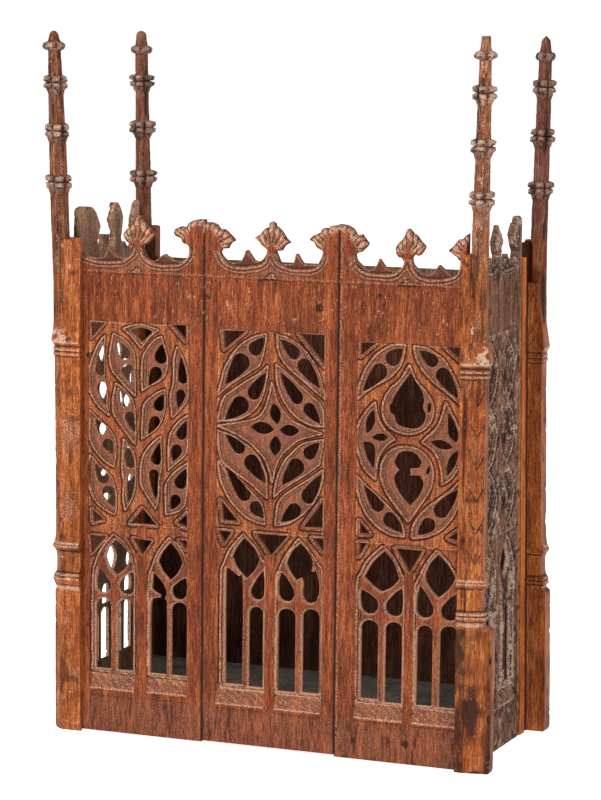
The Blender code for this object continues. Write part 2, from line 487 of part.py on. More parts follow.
def slab(name, loops, near, far, upright, helpers):
    """A flat outline with holes, filled and extruded between two depths, as a closed mesh.

    An upright slab stands in the XZ plane with its depth along Y; a lying one has its depth
    along Z.
    """
    curve = bpy.data.curves.new(name, "CURVE")
    curve.dimensions = "2D"
    curve.fill_mode = "BOTH"
    curve.extrude = (far - near) / 2.0
    for loop in loops:
        spline = curve.splines.new("POLY")
        spline.points.add(len(loop) - 1)
        for point, (x, z) in zip(spline.points, loop):
            point.co = (x, z, 0.0, 1.0)
        spline.use_cyclic_u = True
    drawn = bpy.data.objects.new(name + "_outline", curve)
    if upright:
        drawn.rotation_euler = (math.pi / 2.0, 0.0, 0.0)
        drawn.location = (0.0, (near + far) / 2.0, 0.0)
    else:
        drawn.location = (0.0, 0.0, (near + far) / 2.0)
    helpers.objects.link(drawn)
    bpy.context.view_layer.update()
    graph = bpy.context.evaluated_depsgraph_get()
    mesh = bpy.data.meshes.new_from_object(drawn.evaluated_get(graph))
    mesh.transform(drawn.matrix_world)
    bpy.data.objects.remove(drawn, do_unlink=True)
    return closed_object(name, mesh, helpers)


def closed_object(name, mesh, collection):
    """Welds a mesh's caps to its sides, turns its faces outwards and makes it an object."""
    shape = bmesh.new()
    shape.from_mesh(mesh)
    bmesh.ops.remove_doubles(shape, verts=shape.verts, dist=0.00001)
    bmesh.ops.recalc_face_normals(shape, faces=shape.faces)
    shape.to_mesh(mesh)
    shape.free()
    obj = bpy.data.objects.new(name, mesh)
    collection.objects.link(obj)
    return obj


def loft(name, rings, helpers):
    """A closed skin over a stack of rings with the same number of points each."""
    shape = bmesh.new()
    rows = [[shape.verts.new(Vector(point)) for point in ring] for ring in rings]
    count = len(rings[0])
    for low, high in zip(rows, rows[1:]):
        for k in range(count):
            after = (k + 1) % count
            shape.faces.new((low[k], low[after], high[after], high[k]))
    shape.faces.new(rows[0][::-1])
    shape.faces.new(rows[-1])
    bmesh.ops.triangulate(shape, faces=shape.faces)
    mesh = bpy.data.meshes.new(name)
    shape.to_mesh(mesh)
    shape.free()
    return closed_object(name, mesh, helpers)


def combine(obj, others, operation, helpers):
    """Joins shapes to an object or cuts them from it, and keeps the result as its mesh."""
    group = bpy.data.collections.new(obj.name + "_" + operation.lower())
    helpers.children.link(group)
    for other in others:
        group.objects.link(other)
        helpers.objects.unlink(other)
    modifier = obj.modifiers.new(operation.lower(), "BOOLEAN")
    modifier.operation = operation
    modifier.solver = "EXACT"
    modifier.operand_type = "COLLECTION"
    modifier.collection = group
    bpy.context.view_layer.update()
    graph = bpy.context.evaluated_depsgraph_get()
    mesh = bpy.data.meshes.new_from_object(obj.evaluated_get(graph))
    obj.modifiers.remove(modifier)
    obj.data = mesh
    for other in others:
        bpy.data.objects.remove(other, do_unlink=True)
    bpy.data.collections.remove(group)
    return obj


def finish(obj, parts, helpers, material):
    """Moves a finished shape from the helpers to the parts and gives it its material."""
    helpers.objects.unlink(obj)
    parts.objects.link(obj)
    obj.data.materials.clear()
    obj.data.materials.append(material)
    return obj


# The panels.

def without_flats(loop, tolerance):
    """Drops the points that bend an outline by less than the tolerance, the flattest first."""
    points = list(loop)
    while len(points) > 5:
        deviations = []
        for before, point, after in zip(points[-1:] + points[:-1], points, points[1:] + points[:1]):
            dx = after[0] - before[0]
            dz = after[1] - before[1]
            area = abs(dx * (point[1] - before[1]) - dz * (point[0] - before[0]))
            deviations.append(area / max(math.hypot(dx, dz), 0.001))
        flattest = min(range(len(points)), key=lambda k: deviations[k])
        if deviations[flattest] > tolerance:
            break
        del points[flattest]
    return points


def to_panel(drawing, width, loop):
    """Carries a drawn outline to metres from the panel's left edge and the ground."""
    scale_x = width / DRAWING_WIDTH
    return [((x - drawing["left"]) * scale_x, z * PANEL_SCALE_Z * MM) for x, z in loop]


def panel(name, drawing, width, right_edge, helpers):
    """One carved panel, its left edge at X = 0 and its front face at Y = 0."""
    base = drawing["base"] * PANEL_SCALE_Z * MM
    drawn_crest = to_panel(drawing, width, without_flats(drawing["crest"], OUTLINE_TOLERANCE))
    crest = [point for point in drawn_crest if point[0] < right_edge]
    crest = [(max(point[0], 0.0), point[1]) for point in crest]
    outline = [(right_edge, base), (0.0, base), (0.0, crest[0][1])] + crest[1:]
    outline.append((right_edge, crest[-1][1]))
    lights = [to_panel(drawing, width, without_flats(light, OUTLINE_TOLERANCE))
              for light in drawing["lights"]]
    plate = slab(name, [outline] + lights, 0.0, PANEL_THICKNESS, True, helpers)
    cutters = []
    for number, field in enumerate(drawing["fields"]):
        loop = to_panel(drawing, width, without_flats(field, FIELD_TOLERANCE))
        cutters.append(slab("%s_field_%d" % (name, number), [loop],
                            -POCKET_DEPTH, POCKET_DEPTH, True, helpers))
    for number, (left, right, lip) in enumerate(drawing["sills"]):
        (x0, low), (x1, high) = to_panel(drawing, width, [(left, lip), (right, SILL_HEAD)])
        profile = [(-SILL_OVERCUT, low - SILL_OVERCUT), (SILL_DEPTH, high), (-SILL_OVERCUT, high)]
        rings = [[(x, y, z) for y, z in profile] for x in (x0, x1)]
        cutters.append(loft("%s_sill_%d" % (name, number), rings, helpers))
    return combine(plate, cutters, "DIFFERENCE", helpers)


def place(obj, turn, x, y):
    """Turns a panel about Z and sets it in its place, with the change in its mesh."""
    mesh = obj.data
    cos_turn = round(math.cos(turn))
    sin_turn = round(math.sin(turn))
    for vertex in mesh.vertices:
        px, py, pz = vertex.co
        vertex.co = (x + px * cos_turn - py * sin_turn, y + px * sin_turn + py * cos_turn, pz)
    return obj


# The posts.

def corner_point(side, rear, out, inward):
    """A point near a corner: out from the middle along X, inward from the face along Y."""
    y = BOX_DEPTH - inward if rear else inward
    return (side * out, y)


def in_order(points):
    """The points run anticlockwise, as a loft's rings need."""
    area = sum(a[0] * b[1] - b[0] * a[1] for a, b in zip(points, points[1:] + points[:1]))
    return points if area > 0.0 else points[::-1]


def stile_edge_of(side, rear):
    if side > 0:
        return STILE_EDGE_RIGHT
    return STILE_EDGE_BACK if rear else STILE_EDGE_LEFT


def wrap_ring(side, rear, outer, height, proud, shrink):
    """One level of the outer part of a post: stile front, facet, side and return."""
    stile_edge = stile_edge_of(side, rear) + 0.15 * MM
    back = POST_RETURN_BACK if rear else POST_RETURN_FRONT
    facet = BOX_HALF_WIDTH - 0.1 * MM
    points = [
        (stile_edge, -STILE_PROUD - proud),
        (facet + 0.4 * proud, -STILE_PROUD - proud),
        (outer + proud - shrink, -0.4 * proud - shrink * 0.2),
        (outer + proud - shrink, back + 0.6 * proud),
        (BOX_HALF_WIDTH - 1.5 * MM, back + 0.6 * proud),
        (BOX_HALF_WIDTH - 1.5 * MM, -STILE_PROUD + 1.5 * MM),
        (stile_edge, -STILE_PROUD + 1.5 * MM),
    ]
    ring = [corner_point(side, rear, out, inward) for out, inward in points]
    return [(x, y, height) for x, y in in_order(ring)]


def post_core(name, side, rear, helpers):
    """The stile with its rebate for the panel, and the leg that meets the side wall."""
    stile_edge = stile_edge_of(side, rear)
    rebate = (-LEFT_PANEL_EDGE if side < 0 else RIGHT_PANEL_EDGE) + GAP
    wall_inner = BOX_HALF_WIDTH - PANEL_THICKNESS
    panel_back = (BACK_THICKNESS if rear else PANEL_THICKNESS) + GAP
    leg_outer = BOX_HALF_WIDTH - (4.0 * MM if rear else 0.0)
    corner = BOX_HALF_WIDTH - 0.1 * MM
    points = [(stile_edge, -STILE_PROUD), (corner, -STILE_PROUD), (corner, POST_RETURN_FRONT - 1.0 * MM),
              (leg_outer, POST_RETURN_FRONT - 1.0 * MM), (leg_outer, POST_LEG), (wall_inner, POST_LEG),
              (wall_inner, panel_back), (rebate, panel_back), (rebate, -GAP), (stile_edge, -GAP)]
    if not rear:
        points[3:5] = [(corner, POST_LEG)]
        del points[2]
    loop = [corner_point(side, rear, out, inward) for out, inward in points]
    return slab(name, [loop], 0.0, STILE_TOP, False, helpers)


def post_wrap(name, side, rear, shaft, taper, base, raises, helpers):
    """The facet and side of a post, with its foot, base, bands, collar and broach."""
    base_top = BASE_TOP + raises[0]
    lower_band = LOWER_BAND + raises[1]
    upper_band = UPPER_BAND + raises[1]
    collar = COLLAR + raises[2]
    bulge = BULGE + raises[2]
    levels = [
        (base, 0.0, -2.0 * MM, 0.0), (base, FOOT_ROUND, 0.0, 0.0), (base, base_top, 0.0, 0.0),
        (shaft, base_top + 4.5 * MM, 0.6 * MM, 0.0), (shaft, lower_band - 3.5 * MM, 2.8 * MM, 0.0),
        (shaft, lower_band, BAND_PROUD, 0.0), (shaft, lower_band + 6.0 * MM, -SCOTIA_DEPTH, 0.0),
        (shaft, upper_band - 7.5 * MM, -SCOTIA_DEPTH, 0.0), (shaft, upper_band - 3.0 * MM, BAND_PROUD, 0.0),
        (shaft, upper_band + 5.0 * MM, 0.3 * MM, 0.0),
        (shaft, collar - 4.5 * MM, 0.0, 0.0), (shaft, collar - 3.0 * MM, 1.8 * MM, 0.0),
        (shaft, collar + 4.0 * MM, 1.2 * MM, 0.0), (shaft, bulge, BAND_PROUD, 0.0),
        (shaft, BROACH_START - 5.0 * MM, 0.8 * MM, 0.5 * MM), (shaft, BROACH_END, -4.5 * MM, 1.0 * MM),
    ]
    rings = []
    for outer, height, proud, shrink in levels:
        share = min(1.0, height / BULGE)
        out = BOX_HALF_WIDTH + outer + (taper * (share - 0.75) if outer == shaft else 0.0)
        rings.append(wrap_ring(side, rear, out, height, proud, shrink))
    return loft(name, rings, helpers)


def octagon(centre, height, half_width, turn):
    radius = half_width / math.cos(math.pi / 8.0)
    ring = []
    for k in range(8):
        angle = turn + math.pi / 8.0 + k * math.pi / 4.0
        ring.append((centre[0] + radius * math.cos(angle), centre[1] + radius * math.sin(angle), height))
    return ring


def pinnacle(name, side, rear, spire, helpers):
    """An eight-sided shaft with three leaf collars, a knop and a tip, leaning from its foot."""
    stoutness, turn, lean, outwards, collar_raise, knop_raise, tip = spire
    centre = corner_point(side, rear, AXIS_OUT + outwards, AXIS_IN)
    knop = KNOP + knop_raise

    def shaft(height):
        share = (height - LEAN_START) / (PINNACLE_TOP - LEAN_START)
        return (SHAFT_LOW + (SHAFT_HIGH - SHAFT_LOW) * max(0.0, share)) * stoutness

    levels = [(PINNACLE_START, shaft(PINNACLE_START) - 2.0 * MM),
              (BROACH_START + 10.0 * MM, shaft(BROACH_START))]
    for level in LEAF_COLLARS:
        collar = level + collar_raise
        low = collar - 8.0 * MM
        high = collar + 8.0 * MM
        levels += [(low - 5.0 * MM, shaft(low)), (collar - 4.5 * MM, COLLAR_RADIUS),
                   (collar + 4.5 * MM, COLLAR_RADIUS), (high, shaft(high))]
    levels += [(knop - 8.0 * MM, shaft(knop)), (knop - 3.0 * MM, KNOP_RADIUS),
               (knop + 3.0 * MM, KNOP_RADIUS * 0.95)]
    levels += [(knop + 6.0 * MM, tip[0])] + [(PINNACLE_TOP - drop, radius) for drop, radius in tip[1]]
    rings = []
    for height, half_width in levels:
        shift = max(0.0, height - LEAN_START) * math.tan(math.radians(lean))
        rings.append(octagon((centre[0] + shift, centre[1]), height, half_width, turn))
    return loft(name, rings, helpers)


def post(name, side, rear, shaft, taper, base, raises, spire, helpers):
    core = post_core(name, side, rear, helpers)
    wrap = post_wrap(name + "_wrap", side, rear, shaft, taper, base, raises, helpers)
    upper = pinnacle(name + "_pinnacle", side, rear, spire, helpers)
    return combine(core, [wrap, upper], "UNION", helpers)


# The walls behind and below.

def side_batten(name, side, helpers):
    """The narrow upright between a side panel and its back post, beaded along its rear edge."""
    front = SIDE_PANEL_FRONT + SIDE_PANEL_WIDTH + GAP
    back = front + BATTEN_WIDTH
    bead_centre = back - BEAD_RADIUS
    outer = BOX_HALF_WIDTH
    profile = [(outer - PANEL_THICKNESS, front), (outer, front),
               (outer, bead_centre - BEAD_RADIUS - 0.8 * MM),
               (outer - 1.5 * MM, bead_centre - BEAD_RADIUS)]
    for step in range(5):
        angle = -math.pi / 2.0 + math.pi * step / 4.0
        profile.append((outer - BEAD_RADIUS + BEAD_RADIUS * math.cos(angle) + 0.6 * MM,
                        bead_centre + BEAD_RADIUS * math.sin(angle)))
    profile.append((outer - PANEL_THICKNESS, back))
    return slab(name, [[(side * x, y) for x, y in profile]], 0.0, BATTEN_TOP, False, helpers)


def floor_board(helpers):
    inner_x = BOX_HALF_WIDTH - PANEL_THICKNESS - GAP
    back_inner = BOX_DEPTH - BACK_THICKNESS - GAP
    panel_back = PANEL_THICKNESS + GAP
    loop = [(-inner_x, panel_back), (inner_x, panel_back), (inner_x, back_inner), (-inner_x, back_inner)]
    return slab("floor_board", [loop], FLOOR_UNDERSIDE, FLOOR_UNDERSIDE + FLOOR_THICKNESS, False, helpers)


def back_board(number, helpers):
    left = LEFT_PANEL_EDGE
    right = RIGHT_PANEL_EDGE
    pitch = (right - left + GAP) / BACK_BOARDS
    start = left + number * pitch
    loop = [(start, 0.0), (start + pitch - GAP, 0.0), (start + pitch - GAP, BACK_TOP), (start, BACK_TOP)]
    back = BOX_DEPTH
    return slab("back_board_%d" % (number + 1), [loop], back - BACK_THICKNESS, back, True, helpers)


def rack(obj):
    """Racks a piece: its back right foot goes outwards and its back right top inwards."""
    for vertex in obj.data.vertices:
        x, y, z = vertex.co
        across = min(1.0, max(0.0, x / BOX_HALF_WIDTH))
        behind = min(1.0, max(0.0, y / BOX_DEPTH))
        level = 1.0 - min(z, STILE_TOP) / RACK_LEVEL
        vertex.co.x = x + RACK_FOOT * across * behind * level


def centre_on_origin(objects):
    """Brings the middle of the whole outline over the origin and its lowest point to the ground."""
    points = [vertex.co for obj in objects for vertex in obj.data.vertices]
    low = [min(point[k] for point in points) for k in range(3)]
    high = [max(point[k] for point in points) for k in range(3)]
    shift = Vector((-(low[0] + high[0]) / 2.0, -(low[1] + high[1]) / 2.0, -low[2]))
    for obj in objects:
        for vertex in obj.data.vertices:
            vertex.co += shift


def build():
    clear_scene()
    parts = new_collection(COLLECTION_NAME)
    helpers = new_collection(HELPERS_NAME)
    helpers.hide_render = True
    front_oak = oak("oak_front", OAK_FRONT, 0.55)
    post_oak = oak("oak_post", OAK_POST, 0.5)
    side_oak = oak("oak_side", OAK_SIDE, 0.65)
    dark_oak = oak("oak_dark", OAK_DARK, 0.7)

    made = []
    fronts = [("front_panel_left", left_drawing()), ("front_panel_middle", middle_drawing()),
              ("front_panel_right", right_drawing())]
    for number, (name, drawing) in enumerate(fronts):
        left = LEFT_PANEL_EDGE + number * (FRONT_PANEL_WIDTH + GAP)
        right_edge = min(FRONT_PANEL_WIDTH, RIGHT_PANEL_EDGE - left)
        carved = place(panel(name, drawing, FRONT_PANEL_WIDTH, right_edge, helpers), 0.0, left, 0.0)
        made.append(finish(carved, parts, helpers, front_oak))
    width = SIDE_PANEL_WIDTH
    carved = panel("side_panel_right", right_side_drawing(), width, width, helpers)
    place(carved, math.pi / 2.0, BOX_HALF_WIDTH, SIDE_PANEL_FRONT)
    made.append(finish(carved, parts, helpers, side_oak))
    carved = panel("side_panel_left", left_side_drawing(), width, width, helpers)
    place(carved, -math.pi / 2.0, -BOX_HALF_WIDTH, SIDE_PANEL_FRONT + width)
    made.append(finish(carved, parts, helpers, side_oak))

    stub = (4.6 * MM, [(0.0, 4.2 * MM)])
    bud = (5.0 * MM, [(6.0 * MM, 5.6 * MM), (0.0, 2.0 * MM)])
    small_bud = (3.8 * MM, [(6.0 * MM, 4.6 * MM), (0.0, 1.6 * MM)])
    half_turn = math.pi / 8.0
    left_shaft = (SHAFT_FROM_WALL_LEFT, SHAFT_TAPER_LEFT)
    right_shaft = (SHAFT_FROM_WALL_RIGHT, SHAFT_TAPER_RIGHT)
    # Stoutness, turn, lean in degrees, how much further out, raises of collars and knop, tip.
    spires = {
        "post_front_left": (1.16, 0.0, -2.15, 0.0, 3.0 * MM, 3.6 * MM, bud),
        "post_front_right": (0.95, half_turn, 0.56, 0.6 * MM, 0.0, 1.0 * MM, stub),
        "post_back_left": (0.98, half_turn, -1.07, 0.0, 0.4 * MM, -0.6 * MM, bud),
        "post_back_right": (1.0, half_turn, 0.9, 2.4 * MM, 1.6 * MM, -1.4 * MM, small_bud),
    }
    posts = [("post_front_left", -1.0, False, left_shaft, BASE_FROM_WALL_LEFT, RAISES_FRONT_LEFT),
             ("post_front_right", 1.0, False, right_shaft, BASE_FROM_WALL_RIGHT, RAISES_FRONT_RIGHT),
             ("post_back_left", -1.0, True, left_shaft, BASE_FROM_WALL_LEFT, RAISES_BACK_LEFT),
             ("post_back_right", 1.0, True, right_shaft, BASE_FROM_WALL_BACK, RAISES_BACK_RIGHT)]
    for name, side, rear, (shaft, taper), base, raises in posts:
        shape = post(name, side, rear, shaft, taper, base, raises, spires[name], helpers)
        made.append(finish(shape, parts, helpers, post_oak))

    for name, side in (("side_batten_left", -1.0), ("side_batten_right", 1.0)):
        made.append(finish(side_batten(name, side, helpers), parts, helpers, post_oak))
    made.append(finish(floor_board(helpers), parts, helpers, dark_oak))
    for number in range(BACK_BOARDS):
        made.append(finish(back_board(number, helpers), parts, helpers, dark_oak))
    for obj in made:
        rack(obj)
    centre_on_origin(made)


build()
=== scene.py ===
"""Dresses a late Gothic oak reliquary box: carved and pierced panels, corner posts with leafy pinnacles.

The panels are height fields over a plan of their tracery, in millimetres of each panel's drawing:
x runs across, from the middle of the box on the front and from the panel's own edge on the sides,
and z is the height above the ground.
"""
import math

import bpy
import mathutils
import numpy as np
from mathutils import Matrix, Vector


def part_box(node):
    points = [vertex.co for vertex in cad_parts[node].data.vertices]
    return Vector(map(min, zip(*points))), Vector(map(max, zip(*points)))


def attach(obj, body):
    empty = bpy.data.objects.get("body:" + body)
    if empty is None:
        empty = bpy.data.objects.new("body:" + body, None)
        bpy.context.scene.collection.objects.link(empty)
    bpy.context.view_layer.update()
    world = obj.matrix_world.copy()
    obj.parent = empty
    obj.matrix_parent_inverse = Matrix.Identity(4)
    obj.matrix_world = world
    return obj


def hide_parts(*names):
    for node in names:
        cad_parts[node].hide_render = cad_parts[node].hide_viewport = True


bl_info = {
    "name": "Gothic Reliquary",
    "version": (1, 0, 0),
    "blender": (4, 5, 0),
    "location": "View3D > Sidebar > Reliquary",
    "description": "Carves and colours the panels, posts and boards of an oak reliquary box",
    "category": "Object",
}

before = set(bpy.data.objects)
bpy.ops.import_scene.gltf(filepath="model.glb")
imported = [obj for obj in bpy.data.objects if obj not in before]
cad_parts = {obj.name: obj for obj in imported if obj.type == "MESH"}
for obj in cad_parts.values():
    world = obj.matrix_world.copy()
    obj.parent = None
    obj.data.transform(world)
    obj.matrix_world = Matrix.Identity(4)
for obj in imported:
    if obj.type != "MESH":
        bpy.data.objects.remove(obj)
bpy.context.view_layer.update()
MM = 0.001

# Sizes of the box in millimetres, as its solids have them.
HALF_WIDTH = 226.5
DEPTH = 213.6
GAP = 0.3
PANEL_THICKNESS = 8.0
PANEL_INSET_LEFT = 12.2
PANEL_INSET_RIGHT = 7.0
PANEL_TRIM = 12.3
SIDE_PANEL_FRONT = 22.0
BATTEN_WIDTH = 15.0
BATTEN_GAP = 5.8
POST_LEG = 21.7
STILE_PROUD = 5.8
STILE_TOP = 527.0
STILE_EDGE_LEFT = HALF_WIDTH - 22.2
STILE_EDGE_RIGHT = HALF_WIDTH - 10.6
AXIS_OUT = HALF_WIDTH + 3.5
AXIS_IN = 4.0
RACK_FOOT = 5.0
RACK_LEVEL = 270.0
LEAN_START = 480.0
LEFT_EDGE = PANEL_INSET_LEFT - HALF_WIDTH
RIGHT_EDGE = HALF_WIDTH - PANEL_INSET_RIGHT
FRONT_WIDTH = (RIGHT_EDGE - LEFT_EDGE + PANEL_TRIM - 2.0 * GAP) / 3.0
SIDE_WIDTH = DEPTH - POST_LEG - BATTEN_GAP - BATTEN_WIDTH - GAP - SIDE_PANEL_FRONT
DRAWING_WIDTH = 147.0

# Heights on a panel's drawing, in millimetres.
GRID_FOOT = 40.0                       # the fine grid starts here
RAIL_TOP = 48.0                        # the darkened bottom rail ends here
WINDOW_FOOT = 60.0
SILL_TOP = 66.0
WINDOW_HEAD = 222.0
TRACERY_TOP = 442.0
FRIEZE_FOOT = 444.0
CREST_SKIRT = 460.0                    # the cresting's outline is closed down here
CREST_FOOT = 484.0                     # the cresting's mouldings start above this
STEM_FOOT = 491.0                      # lower corners of the sunk triangle under a fleuron
CREST_FILLET = 493.2                   # the straight fillet under the cresting
BACK_CARVED = 503.0                    # the inner face is carved above this
LEAF_FOOT = 519.0                      # mouldings below, leaves above
BAY_HEAD = 520.0
ABOVE_CREST = 556.0
DEEPEST = 6.6                          # how far the carving goes into a panel, in millimetres


# Plans of the tracery.

def teardrop(tip_x, tip_z, x, z, radius, steps=26):
    """A light with one pointed end: the tip, two slightly bowed sides and an arc round the far end."""
    towards = math.atan2(tip_z - z, tip_x - x)
    distance = math.hypot(tip_x - x, tip_z - z)
    half_open = math.acos(min(0.98, radius / distance))
    angle = towards + half_open + np.linspace(0.0, 2.0 * (math.pi - half_open), steps)
    out = np.stack([np.cos(angle), np.sin(angle)], 1)
    arc = np.array([x, z]) + radius * out
    tip = np.array([tip_x, tip_z], float)
    share = np.linspace(0.0, 1.0, 9)[1:-1, None]
    bow = 0.05 * distance * np.sin(math.pi * share)
    first = tip + (arc[0] - tip) * share + bow * out[0]
    last = arc[-1] + (tip - arc[-1]) * share + bow * out[-1]
    return np.concatenate([tip[None], first, arc, last])


def leaf(start_x, start_z, end_x, end_z, width):
    """A light pointed at both ends: its half width follows a sine along its length."""
    start = np.array([start_x, start_z], float)
    along = np.array([end_x, end_z], float) - start
    across = np.array([-along[1], along[0]]) / np.hypot(*along) * width / 2.0
    share = np.linspace(0.0, 1.0, 15)[:, None]
    swell = np.sin(math.pi * share) ** 0.8
    upper = start + along * share + across * swell
    lower = start + along * share - across * swell
    return np.concatenate([upper, lower[-2:0:-1]])


def lancet(left, right, bottom, top):
    """A tall light with a round head."""
    radius = (right - left) / 2.0
    rise = min(radius, 8.0)
    angle = np.linspace(0.0, math.pi, 15)
    head = np.stack([left + radius + radius * np.cos(angle), top - rise + rise * np.sin(angle)], 1)
    return np.concatenate([[(left, bottom), (right, bottom)], head])


def triangle(*numbers):
    """A small corner light with straight sides, from the x and z of its three corners."""
    return np.array(numbers, float).reshape(3, 2)


def smooth_outline(points, step=1.5, corner=math.radians(42.0)):
    """A closed outline through its points: Catmull-Rom curves that run from sharp corner to sharp corner."""
    points = np.array(points, float)
    previous = np.roll(points, 1, 0)
    following = np.roll(points, -1, 0)
    before, after = points - previous, following - points
    cross = before[:, 0] * after[:, 1] - before[:, 1] * after[:, 0]
    turn = np.abs(np.arctan2(cross, (before * after).sum(1)))
    sharp = turn > corner
    previous = np.where(sharp[:, None], points, previous)
    beyond = np.where(np.roll(sharp, -1)[:, None], following, np.roll(points, -2, 0))
    pieces = []
    for p0, p1, p2, p3 in zip(previous, points, following, beyond):
        count = max(2, int(np.hypot(*(p2 - p1)) / step) + 1)
        t = np.linspace(0.0, 1.0, count, endpoint=False)[:, None]
        pieces.append(0.5 * (2 * p1 + (p2 - p0) * t + (2 * p0 - 5 * p1 + 4 * p2 - p3) * t ** 2
                             + (3 * p1 - p0 - 3 * p2 + p3) * t ** 3))
    return np.concatenate(pieces)


def bay_outline(left, right, floor):
    """The sunk bay between two stems of the cresting: a U with round corners, open at the top."""
    t = np.linspace(0.0, math.pi, 25)
    middle, half = (left + right) / 2.0, (right - left) / 2.0
    sag = np.sign(np.cos(t)) * np.abs(np.cos(t)) ** 0.72
    curve = np.stack([middle - half * sag, BAY_HEAD - (BAY_HEAD - floor) * np.sin(t) ** 0.85], 1)
    return np.concatenate([curve, [(right, ABOVE_CREST), (left, ABOVE_CREST)]])


def each(shape, rows):
    """One outline of the shape for each row of its numbers."""
    return [shape(*row) for row in rows]


def panel_plan(**given):
    """What the carving of a panel reads. What a panel doesn't give is absent from it.

    windows and openings are boxes (x0, x1, z0, z1): an opening has no line scored round it. A sill is
    (x0, x1, lip, line below), a bay (x0, x1, floor), a leaf (x, z, 1 for a fleuron or -1 for half a
    palmette at the panel's edge), a stain (x, z, size) and a chip (x, z, width, height). fillet is the
    width of the ribs' fillets, crust how weathered the face is, and inside the tone of the inner face.
    """
    plan = {"spandrels": [], "windows": [], "stems": [], "stains": [], "chips": [], "crust": 0.0,
            "patches": 0.0, "inside": {"recess": 0.6}}
    plan.update(given)
    return plan


